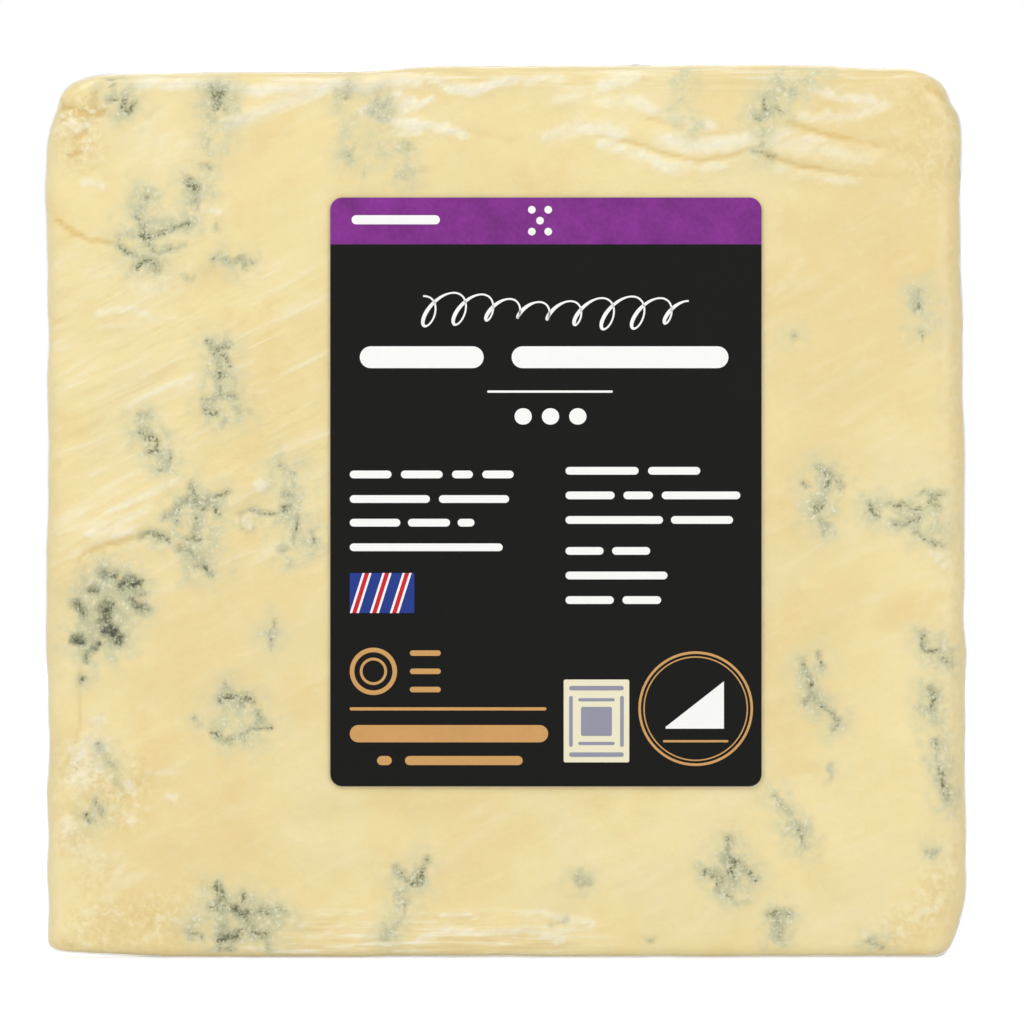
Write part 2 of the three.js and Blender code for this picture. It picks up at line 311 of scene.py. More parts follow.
FRONT_VEINS = [
    # by the thin edge, near the top
    (0.3, 0.8, [(-43.2, 97.0)]),
    (0.25, 0.6, [(-43.2, 95.7)]),
    (0.3, 0.7, [(-43.7, 94.6), (-43.1, 94.4)]),
    (0.3, 1.0, [(-42.1, 94.4), (-42.3, 93.6), (-41.8, 93.1), (-41.3, 93.5)]),
    (0.25, 0.8, [(-40.8, 93.9), (-40.6, 93.5)]),
    (0.35, 0.9, [(-32.6, 95.6), (-31.9, 95.1), (-31.0, 95.5)]),
    (0.3, 1.0, [(-32.0, 95.0), (-31.6, 94.2), (-32.0, 93.4)]),
    (0.3, 0.7, [(-31.4, 93.6), (-30.8, 93.0)]),
    (0.28, 0.6, [(-32.8, 89.7)]),
    (0.3, 0.8, [(-33.2, 87.1), (-32.8, 87.0)]),
    (0.3, 0.9, [(-35.2, 85.0), (-34.5, 84.7), (-33.9, 84.5)]),
    (0.25, 0.9, [(-34.7, 85.6), (-34.6, 84.9)]),
    (0.25, 0.8, [(-33.9, 84.5), (-33.9, 83.5), (-34.0, 82.4)]),
    # the tall star at the upper left
    (0.28, 0.9, [(-39.7, 83.7), (-39.4, 83.4)]),
    (0.25, 0.5, [(-40.4, 82.8), (-40.2, 82.2)]),
    (0.3, 0.8, [(-40.6, 81.3), (-40.2, 80.7), (-39.8, 79.9), (-39.6, 79.0)]),
    (0.35, 1.0, [(-40.3, 79.6), (-39.6, 79.1), (-39.1, 79.4)]),
    (0.25, 0.8, [(-42.8, 78.6), (-42.0, 78.0), (-40.8, 77.4)]),
    (0.25, 0.6, [(-42.6, 79.5), (-41.0, 79.5), (-39.8, 79.2)]),
    (0.28, 0.9, [(-39.6, 79.2), (-38.1, 79.6), (-36.7, 80.2), (-35.5, 80.6), (-34.6, 80.8)]),
    (0.28, 0.9, [(-39.6, 78.8), (-38.9, 78.0), (-38.3, 77.4)]),
    (0.22, 0.5, [(-38.3, 77.4), (-37.3, 77.8), (-35.3, 78.5)]),
    (0.3, 0.9, [(-40.6, 76.0), (-40.4, 76.5), (-39.8, 76.8), (-38.7, 76.2), (-38.1, 75.6)]),
    (0.25, 0.6, [(-32.0, 80.4)]),
    (0.25, 0.7, [(-32.4, 76.6), (-31.6, 77.2), (-31.1, 76.5), (-30.0, 76.5), (-29.2, 76.9)]),
    (0.28, 0.8, [(-29.2, 76.8), (-28.2, 76.6)]),
    (0.25, 0.7, [(-29.2, 76.4), (-28.7, 75.8)]),
    (0.4, 0.5, [(-35.2, 74.9), (-34.6, 74.9)]),
    # the two broken chains below it
    (0.28, 0.9, [(-32.8, 67.5), (-32.2, 67.0), (-31.2, 67.2), (-30.6, 67.5)]),
    (0.22, 0.6, [(-32.5, 66.5), (-32.0, 65.8), (-31.5, 65.1)]),
    (0.25, 0.8, [(-31.1, 66.4), (-30.7, 65.8), (-30.3, 65.3)]),
    (0.35, 1.0, [(-31.7, 64.3), (-31.4, 64.1)]),
    (0.22, 0.7, [(-31.7, 63.8), (-31.7, 62.8), (-31.4, 62.0)]),
    (0.25, 0.8, [(-33.4, 61.6), (-32.4, 61.4), (-30.7, 62.0), (-29.8, 61.6)]),
    (0.25, 0.9, [(-33.4, 60.5), (-32.8, 60.1), (-31.8, 60.0)]),
    (0.22, 0.5, [(-30.0, 60.6), (-29.4, 60.0)]),
    (0.3, 0.6, [(-28.4, 60.0)]),
    (0.35, 0.6, [(-31.2, 58.9)]),
    (0.28, 0.8, [(-40.4, 59.6), (-39.6, 59.7)]),
    (0.25, 0.9, [(-40.3, 58.3), (-39.4, 57.4), (-38.4, 56.8), (-38.7, 56.1), (-39.3, 55.7)]),
    (0.28, 0.9, [(-38.5, 56.2), (-38.4, 55.5)]),
    (0.22, 0.7, [(-36.9, 55.6), (-36.9, 54.9), (-37.2, 54.5)]),
    (0.3, 0.8, [(-37.8, 53.9)]),
    # the big star
    (0.35, 0.9, [(-34.7, 52.0), (-34.7, 51.2), (-34.4, 50.4)]),
    (0.35, 0.9, [(-34.8, 50.6), (-35.6, 50.0), (-36.7, 49.2), (-37.5, 48.6)]),
    (0.28, 0.8, [(-36.7, 49.2), (-36.3, 48.4), (-36.2, 48.0)]),
    (0.28, 0.8, [(-32.8, 50.3), (-31.8, 50.7), (-30.6, 51.2)]),
    (0.3, 1.0, [(-34.4, 50.0), (-33.4, 49.3), (-32.6, 50.0), (-32.0, 49.4), (-31.5, 48.7)]),
    (0.3, 0.9, [(-40.1, 46.3), (-39.3, 46.8), (-38.3, 46.4), (-37.5, 46.1), (-37.1, 45.9)]),
    (0.28, 0.9, [(-35.1, 46.1), (-34.0, 46.1)]),
    (0.32, 0.9, [(-36.1, 45.1), (-35.2, 44.7), (-34.6, 44.3)]),
    (0.28, 0.8, [(-34.3, 43.1), (-33.0, 43.0), (-32.4, 42.1)]),
    (0.22, 0.7, [(-34.1, 48.4), (-34.3, 47.1), (-33.9, 46.1)]),
    # its fainter neighbour, beside the label
    (0.4, 0.7, [(-24.9, 54.4), (-24.6, 54.0)]),
    (0.22, 0.5, [(-23.7, 53.2), (-23.6, 52.0)]),
    (0.25, 0.8, [(-24.5, 50.8), (-23.7, 50.8)]),
    (0.32, 1.0, [(-24.3, 49.4), (-24.0, 49.5)]),
    (0.25, 0.7, [(-29.2, 49.0), (-28.1, 49.2), (-27.1, 48.8), (-25.3, 48.9)]),
    (0.16, 0.2, [(-29.2, 48.4), (-29.1, 47.2), (-28.4, 46.6), (-27.6, 47.4), (-27.8, 48.4)]),
    (0.28, 0.8, [(-22.9, 48.4), (-23.1, 47.0), (-23.4, 45.9)]),
    (0.25, 0.8, [(-21.6, 46.8), (-21.1, 45.5)]),
    (0.28, 0.7, [(-25.1, 45.1), (-24.3, 44.8)]),
    # the dense patch by the thin edge
    (0.5, 0.9, [(-43.9, 42.2), (-43.0, 42.1)]),
    (0.45, 0.8, [(-45.8, 40.5), (-44.8, 40.6)]),
    (0.45, 0.9, [(-42.6, 41.1), (-41.8, 41.4)]),
    (0.28, 0.8, [(-40.5, 40.0), (-39.7, 40.1)]),
    (0.35, 0.9, [(-41.2, 39.5), (-40.7, 39.1), (-40.0, 38.5)]),
    (0.45, 0.9, [(-47.5, 39.2), (-47.1, 38.6), (-46.6, 38.1)]),
    (0.35, 0.9, [(-44.1, 38.6), (-44.3, 37.8)]),
    (0.4, 0.9, [(-43.2, 38.9), (-43.7, 38.0), (-43.9, 37.2)]),
    (0.5, 1.15, [(-43.9, 36.1), (-43.4, 35.7)]),
    (0.35, 0.9, [(-43.3, 35.5), (-42.6, 35.4)]),
    (0.4, 1.0, [(-42.7, 34.8), (-42.4, 34.5)]),
    (0.45, 1.0, [(-47.4, 35.2), (-46.8, 34.9)]),
    (0.4, 1.1, [(-41.0, 41.0), (-40.2, 41.4)]),
    (0.35, 1.1, [(-40.6, 38.9), (-39.9, 38.4)]),
    (0.35, 0.9, [(-44.8, 34.6), (-45.4, 33.8)]),
    (0.28, 0.9, [(-42.8, 34.6), (-42.4, 34.4)]),
    (0.3, 0.8, [(-46.0, 33.7), (-46.4, 32.7)]),
    (0.3, 1.0, [(-46.6, 30.7)]),
    # small vein below it
    (0.3, 0.6, [(-25.5, 37.0), (-26.0, 35.6), (-25.9, 34.2)]),
    # the ring
    (0.35, 0.8, [(-30.8, 29.9), (-30.6, 29.5)]),
    (0.28, 0.9, [(-31.4, 28.5), (-30.4, 28.6), (-29.8, 28.6)]),
    (0.38, 1.0, [(-29.2, 28.2), (-28.5, 28.7), (-27.9, 28.3)]),
    (0.25, 0.7, [(-27.8, 27.6), (-27.1, 26.3)]),
    (0.28, 1.0, [(-27.1, 26.2)]),
    (0.25, 0.8, [(-26.0, 25.4), (-26.7, 25.4), (-27.8, 25.2), (-28.8, 24.8), (-28.8, 24.0)]),
    (0.25, 0.9, [(-32.2, 25.1), (-31.5, 24.5), (-31.1, 24.0), (-30.6, 23.7), (-30.2, 24.0)]),
    (0.22, 0.6, [(-34.2, 26.4), (-33.8, 25.7)]),
    # the crumbly corner of the thin edge
    (0.28, 0.8, [(-44.9, 23.6), (-44.7, 23.1)]),
    (0.3, 0.55, [(-44.4, 23.2), (-43.8, 21.9), (-42.8, 20.6)]),
    (0.3, 0.5, [(-42.9, 19.6), (-42.4, 18.6)]),
    (0.25, 0.9, [(-45.2, 17.3), (-45.1, 16.8)]),
    (0.4, 1.1, [(-44.7, 16.4), (-44.5, 16.0)]),
    (0.4, 1.1, [(-46.0, 15.6), (-45.8, 15.2)]),
    # at the foot, left
    (0.3, 1.0, [(-31.9, 8.0), (-31.4, 7.2), (-31.3, 6.2), (-31.2, 5.6)]),
    (0.25, 0.8, [(-28.9, 7.4), (-28.8, 6.4), (-29.0, 5.8)]),
    (0.22, 0.8, [(-32.6, 5.4), (-31.2, 5.6)]),
    (0.4, 1.1, [(-30.2, 5.5), (-29.2, 5.5), (-28.6, 5.2)]),
    (0.25, 0.9, [(-28.4, 5.2), (-26.9, 5.2), (-25.9, 5.0)]),
    (0.4, 0.9, [(-29.2, 5.0), (-28.7, 4.3), (-28.1, 3.6)]),
    (0.25, 0.8, [(-25.3, 5.8), (-24.5, 5.2)]),
    (0.22, 0.8, [(-35.2, 3.0), (-34.5, 2.6), (-33.6, 2.5)]),
    (0.22, 0.7, [(-31.4, 3.6), (-30.6, 3.2)]),
    (0.4, 1.1, [(-31.6, 2.2), (-30.6, 2.3), (-29.6, 2.6)]),
    (0.25, 0.8, [(-29.6, 2.9), (-29.0, 3.4)]),
    (0.35, 1.0, [(-27.8, 3.0), (-27.0, 2.7), (-26.3, 2.6)]),
    (0.22, 0.7, [(-26.9, 2.4), (-26.2, 1.4)]),
    (0.28, 0.9, [(-31.4, 0.9), (-30.2, 0.8)]),
    # at the foot, under the label
    (0.28, 0.9, [(-8.7, 11.0), (-9.2, 10.2), (-9.4, 9.2), (-9.6, 8.3)]),
    (0.25, 0.8, [(-12.2, 9.9), (-11.5, 9.4), (-10.8, 8.4), (-10.8, 7.5)]),
    (0.25, 0.9, [(-9.6, 8.1), (-10.4, 8.0)]),
    (0.3, 0.8, [(-12.0, 6.7)]),
    (0.22, 0.5, [(-11.1, 6.2), (-11.3, 4.9), (-12.0, 4.0), (-12.7, 2.9), (-13.4, 1.8)]),
    (0.22, 0.7, [(7.7, 9.2), (7.8, 8.4), (8.4, 8.0), (9.1, 8.4)]),
    (0.22, 0.4, [(9.1, 9.1), (8.6, 9.7), (7.9, 9.6)]),
    (0.3, 0.5, [(6.5, 4.5), (6.1, 4.2)]),
    (0.25, 0.5, [(4.9, 3.6)]),
    (0.3, 0.5, [(16.1, 2.1), (15.5, 1.9)]),
    # at the foot, right
    (0.3, 0.8, [(24.4, 13.5), (24.7, 12.6), (24.3, 11.6)]),
    (0.38, 1.1, [(24.4, 10.8), (24.8, 10.2), (24.6, 9.2), (25.2, 9.0)]),
    (0.32, 0.9, [(25.3, 10.8), (26.2, 9.8), (27.3, 8.8)]),
    (0.32, 1.0, [(21.9, 9.6), (22.8, 9.3), (23.4, 8.6), (23.4, 7.5)]),
    (0.25, 0.8, [(23.4, 7.5), (24.2, 7.0), (24.9, 6.4)]),
    (0.3, 0.8, [(29.0, 4.9), (30.0, 5.1), (30.9, 4.9)]),
    (0.28, 0.9, [(29.7, 5.1), (30.0, 3.8), (29.9, 2.2)]),
    (0.35, 0.5, [(29.3, 17.9), (30.4, 16.7), (31.6, 15.1)]),
    (0.35, 0.8, [(31.6, 15.1), (32.3, 14.0), (32.7, 12.6)]),
    (0.45, 0.5, [(35.5, 20.8), (35.8, 20.1)]),
    (0.35, 0.6, [(46.2, 12.1), (46.6, 11.3), (47.3, 11.6)]),
    (0.35, 0.7, [(39.7, 2.1), (40.6, 1.6), (41.4, 1.1)]),
    # right of the label
    (0.3, 1.0, [(33.4, 30.3), (33.6, 28.8), (33.0, 28.1)]),
    (0.32, 0.8, [(33.9, 27.9), (35.3, 27.2), (36.4, 26.5), (35.9, 25.1)]),
    (0.32, 0.9, [(32.4, 32.5), (32.8, 31.6), (33.5, 30.7)]),
    (0.35, 0.8, [(34.3, 33.6), (34.5, 32.2), (35.1, 32.2)]),
    (0.38, 0.9, [(46.7, 29.6), (46.9, 28.6), (46.6, 27.4)]),
    (0.2, 0.6, [(47.1, 24.0), (47.4, 22.4), (47.8, 20.9)]),
    (0.32, 1.0, [(47.8, 20.6), (48.1, 19.2), (48.4, 17.9)]),
    (0.32, 0.8, [(34.1, 53.8), (35.3, 53.4), (35.5, 52.7), (35.1, 52.0)]),
    (0.25, 0.7, [(35.3, 53.4), (36.6, 52.8), (36.6, 51.8)]),
    (0.32, 0.8, [(32.6, 52.2), (33.1, 51.8)]),
    (0.42, 1.0, [(34.1, 50.1), (34.0, 49.4), (34.6, 49.8)]),
    (0.32, 0.7, [(34.4, 48.2), (35.1, 47.6), (35.2, 46.8)]),
    (0.32, 0.85, [(39.9, 50.0), (39.9, 49.2), (40.6, 48.7)]),
    (0.32, 0.85, [(42.4, 49.9), (43.5, 49.7), (45.1, 49.4)]),
    (0.3, 0.7, [(42.7, 47.8), (43.4, 47.5), (45.1, 48.4)]),
    (0.28, 0.7, [(44.9, 46.8), (46.7, 45.7), (48.0, 45.2)]),
    (0.35, 0.7, [(45.6, 51.3), (46.9, 50.6), (47.9, 51.2)]),
    (0.35, 0.9, [(46.5, 50.0), (47.6, 49.6)]),
    (0.32, 0.9, [(45.9, 35.5), (45.9, 34.0), (47.1, 33.6), (48.0, 33.2), (49.0, 32.5)]),
    # upper right
    (0.3, 0.9, [(28.3, 94.3), (28.4, 93.2), (28.2, 92.5), (27.4, 92.2)]),
    (0.3, 0.7, [(29.1, 93.1), (29.9, 93.4), (30.4, 93.0)]),
    (0.12, 0.7, [(28.0, 92.0)]),
    (0.12, 0.7, [(28.1, 90.6)]),
    (0.12, 0.7, [(28.0, 89.4)]),
    (0.25, 0.7, [(27.0, 88.8), (27.9, 88.5), (29.2, 88.1)]),
    (0.25, 0.6, [(30.6, 95.6), (31.3, 95.2)]),
    (0.28, 0.7, [(45.1, 73.4), (45.3, 72.2), (45.1, 71.2)]),
    (0.25, 0.6, [(45.4, 69.0), (45.7, 68.4)]),
    (0.32, 0.6, [(31.4, 68.5), (31.8, 68.2)]),
    # above the label
    (0.22, 0.7, [(-17.6, 96.6), (-17.5, 95.5), (-17.7, 94.5)]),
    (0.28, 0.7, [(-14.8, 93.6), (-14.2, 94.2), (-13.5, 93.9)]),
    (0.25, 0.7, [(-14.9, 92.9), (-14.0, 92.3), (-13.1, 92.4)]),
    (0.25, 0.6, [(-17.0, 89.3), (-17.3, 88.4), (-17.6, 87.6)]),
    (0.3, 0.6, [(-11.2, 89.5), (-10.6, 89.2)]),
    (0.3, 0.6, [(-15.8, 86.0)]),
    (0.3, 0.7, [(-11.5, 85.8)]),
]

# Patches of grey-green bloom that are wider than their veins: (radius, strength, points).
FRONT_BLOOM = [
    (3.0, 0.45, [(-31.6, 95.0), (-31.9, 90.5)]),
    (2.4, 0.35, [(-41.8, 93.8), (-43.0, 96.0)]),
    (3.2, 0.45, [(-39.6, 83.0), (-39.4, 77.5)]),
    (2.6, 0.4, [(-34.2, 84.6), (-35.5, 81.5)]),
    (2.2, 0.3, [(-30.2, 76.3)]),
    (2.6, 0.45, [(-31.5, 66.0), (-30.9, 60.2)]),
    (2.2, 0.4, [(-39.8, 58.2), (-37.6, 54.6)]),
    (3.4, 0.5, [(-34.4, 49.0), (-33.6, 44.0)]),
    (3.4, 0.42, [(-24.0, 53.0), (-23.2, 46.2)]),
    (3.5, 0.85, [(-43.8, 40.4), (-44.6, 36.4)]),
    (2.0, 0.35, [(-25.8, 35.6)]),
    (3.0, 0.4, [(-30.8, 27.4), (-28.6, 25.6)]),
    (2.0, 0.35, [(-43.8, 21.2)]),
    (3.2, 0.55, [(-32.4, 3.8), (-28.6, 4.4), (-26.0, 3.6)]),
    (2.0, 0.45, [(-10.4, 9.2), (-11.6, 5.4), (-13.2, 2.4)]),
    (1.6, 0.3, [(8.4, 8.9)]),
    (2.8, 0.5, [(24.2, 10.6), (25.2, 8.2)]),
    (2.0, 0.45, [(29.9, 4.2), (29.9, 1.6)]),
    (2.4, 0.4, [(29.4, 17.6), (32.4, 13.4)]),
    (1.5, 0.35, [(35.6, 20.4)]),
    (1.6, 0.4, [(46.7, 11.8)]),
    (2.0, 0.4, [(40.4, 1.6)]),
    (2.0, 0.4, [(33.2, 31.4), (33.6, 28.8), (36.0, 26.4)]),
    (2.4, 0.5, [(46.8, 28.4), (48.2, 20.4), (48.6, 17.4)]),
    (2.6, 0.45, [(34.6, 52.6), (34.9, 48.4)]),
    (2.2, 0.45, [(40.4, 49.4), (43.8, 48.6), (47.2, 47.0)]),
    (1.6, 0.4, [(46.9, 50.6)]),
    (2.2, 0.45, [(46.4, 34.4), (48.0, 33.4)]),
    (2.4, 0.5, [(28.4, 93.0), (29.4, 95.2), (31.6, 96.6), (34.6, 96.8)]),
    (1.6, 0.2, [(28.2, 90.0), (28.6, 87.6)]),
    (1.9, 0.5, [(19.5, 97.4), (19.3, 94.0), (20.2, 91.2)]),
    (2.8, 0.4, [(45.4, 72.6), (47.0, 70.6)]),
    (1.6, 0.3, [(45.2, 68.6)]),
    (1.6, 0.25, [(31.4, 68.4)]),
    (2.4, 0.55, [(-14.0, 93.2)]),
    (2.2, 0.35, [(-17.4, 96.0), (-17.2, 88.2)]),
    (2.0, 0.4, [(-16.8, 88.4), (-11.4, 88.4), (-10.8, 86.0)]),
]

# Soft olive blots of thick mould.
FRONT_MOULD = [
    (0.8, 0.55, [(-44.2, 42.3), (-43.2, 41.9)]),
    (1.0, 0.85, [(-42.0, 41.2), (-41.0, 41.3)]),
    (0.6, 0.5, [(-45.6, 40.6), (-45.0, 40.2)]),
    (0.8, 0.6, [(-47.2, 38.9), (-46.6, 37.9)]),
    (0.9, 0.75, [(-44.0, 38.8), (-44.2, 37.4)]),
    (0.9, 1.0, [(-43.8, 36.1), (-42.9, 35.3)]),
    (0.75, 0.95, [(-47.4, 35.2), (-46.8, 34.8)]),
    (0.6, 0.7, [(-45.0, 34.6), (-45.5, 34.0)]),
    (0.6, 0.55, [(-46.0, 33.5), (-46.2, 32.7)]),
    (0.6, 0.6, [(-40.9, 39.3), (-40.2, 38.6)]),
    (0.5, 0.4, [(-40.5, 40.0), (-39.8, 40.0)]),
    (0.5, 0.6, [(-42.5, 34.6)]),
    (0.6, 0.6, [(-31.4, 6.4)]),
    (0.7, 0.75, [(-29.8, 5.4), (-28.8, 5.0)]),
    (0.5, 0.45, [(-28.4, 4.0)]),
    (0.7, 0.65, [(-31.2, 2.3), (-30.0, 2.4)]),
    (0.4, 0.45, [(-27.2, 2.8)]),
    (0.5, 0.3, [(-42.0, 93.6), (-41.4, 93.6)]),
    (0.7, 0.35, [(-34.6, 84.9), (-33.9, 84.4)]),
]

# Rough places where the paste is crumbly, with ochre painted in the hollows as shade and white on the
# crumb tops as highlight.
FRONT_TORN = [
    (1.6, 0.85, [(-48.6, 93.0), (-46.0, 92.6), (-45.0, 94.0)]),
    (2.2, 0.6, [(-47.6, 90.6), (-46.4, 88.8)]),
    (3.0, 0.6, [(-46.4, 21.4), (-43.4, 19.6), (-42.8, 17.4)]),
    (2.4, 0.5, [(-47.2, 14.0), (-44.8, 16.2)]),
    (2.4, 0.3, [(-45.8, 9.0)]),
    (2.8, 0.45, [(-46.0, 3.6), (-36.6, 4.6)]),
    (1.6, 0.4, [(-36.4, 2.6), (-33.6, 6.6)]),
    (1.6, 0.4, [(48.6, 95.2), (49.6, 88.0)]),
    (3.4, 0.26, [(45.6, 94.0), (46.8, 86.0)]),
    (1.6, 0.22, [(49.4, 80.0), (49.6, 12.0)]),
    (2.2, 0.4, [(48.4, 11.0), (46.6, 5.0), (42.0, 2.6)]),
    (1.2, 0.4, [(-44.6, 44.6), (-46.2, 43.2)]),
    (1.2, 0.35, [(-38.2, 82.0)]),
    (1.5, 0.4, [(-39.0, 75.2)]),
]

# Lines where the paste has been creased or torn; each is sunk, and painted warm and darker as shade
# in the crease.
FRONT_CREASES = [
    (0.45, 1.2, [(-49.0, 93.6), (-47.8, 93.6), (-46.8, 92.9), (-45.6, 92.6), (-44.4, 93.0)]),
    (0.4, 0.9, [(-45.2, 95.0), (-45.2, 93.5), (-45.1, 92.6)]),
    (0.4, 1.0, [(-46.2, 91.0), (-47.1, 90.2)]),
    (0.5, 1.0, [(-46.8, 88.7), (-47.9, 88.3)]),
    (0.4, 1.0, [(-49.2, 81.2), (-47.4, 79.8), (-45.4, 78.9), (-43.4, 78.7)]),
    (0.4, 0.6, [(-46.9, 43.8), (-46.2, 42.0), (-46.8, 40.4)]),
    (0.5, 0.8, [(-46.4, 44.6), (-44.6, 45.4), (-42.2, 45.9), (-39.8, 46.6)]),
    (0.4, 0.6, [(-46.7, 33.0), (-47.0, 30.0), (-46.8, 26.6), (-47.4, 23.6), (-48.0, 20.8)]),
    (0.5, 0.7, [(-47.6, 16.0), (-46.8, 15.4)]),
    (0.5, 0.8, [(-40.9, 19.6), (-40.5, 19.2)]),
    (0.5, 0.5, [(-47.4, 24.6), (-48.2, 20.2)]),
    (0.5, 0.6, [(-48.6, 20.2), (-47.4, 20.8)]),
    (0.5, 0.5, [(-48.0, 12.6), (-48.8, 11.4)]),
    (0.5, 0.8, [(-48.6, 1.9), (-47.8, 1.4)]),
    (0.4, 0.7, [(-33.4, 7.9), (-33.0, 7.7)]),
    (0.45, 0.5, [(-45.2, 15.0), (-46.2, 17.6)]),
    (0.3, 0.6, [(-27.8, 62.2), (-27.8, 61.2)]),
    (0.45, 0.5, [(-29.6, 80.2)]),
    (0.45, 0.7, [(-14.2, 95.6), (-14.0, 94.6)]),
    (0.4, 0.6, [(-9.4, 86.5), (-8.9, 86.5)]),
    (0.6, 0.45, [(-6.9, 91.7), (-4.2, 90.9), (-1.6, 90.4), (0.6, 89.8)]),
    (0.5, 0.5, [(-7.2, 96.4), (-5.4, 95.2)]),
    (0.5, 0.45, [(-4.8, 97.4), (-2.0, 96.8), (1.4, 96.4)]),
    (0.42, 0.8, [(10.0, 90.5), (14.1, 89.6), (17.7, 88.4), (21.3, 87.7), (24.3, 88.2), (26.9, 89.0)]),
    (0.42, 0.6, [(15.4, 92.3), (18.2, 91.7), (22.3, 90.6), (26.4, 91.0), (27.9, 91.5)]),
    (0.42, 0.95, [(31.0, 91.9), (34.6, 90.7), (37.7, 90.1)]),
    (0.42, 0.7, [(37.7, 90.1), (40.7, 89.4)]),
    (0.42, 0.4, [(40.7, 89.4), (43.6, 88.7)]),
    (0.42, 0.9, [(28.4, 88.4), (31.5, 87.3), (34.6, 86.7)]),
    (0.42, 0.65, [(34.6, 86.7), (38.7, 86.2)]),
    (0.42, 0.35, [(38.7, 86.2), (42.9, 85.8)]),
    (0.45, 0.5, [(34.6, 92.4), (38.0, 93.0), (41.4, 94.0)]),
    (0.5, 1.0, [(46.2, 95.8), (47.6, 94.9), (48.6, 94.0), (49.2, 93.0)]),
    (0.7, 0.5, [(45.4, 96.8), (46.6, 95.8)]),
    (0.5, 0.5, [(49.6, 49.0), (49.9, 47.0)]),
    (0.6, 0.4, [(46.4, 5.6), (47.6, 4.2), (46.0, 2.4)]),
    (0.5, 0.5, [(-2.6, 1.9), (2.4, 2.4), (6.4, 1.4)]),
    (0.35, 0.5, [(8.1, 8.0), (8.7, 7.9)]),
    (0.4, 0.4, [(5.2, 15.3), (5.3, 14.8)]),
    (0.4, 0.4, [(15.6, 9.6), (15.2, 8.8)]),
    (0.35, 0.6, [(-45.9, 40.2), (-45.4, 39.6)]),
    (0.35, 0.7, [(-44.8, 38.9), (-44.9, 37.9)]),
]
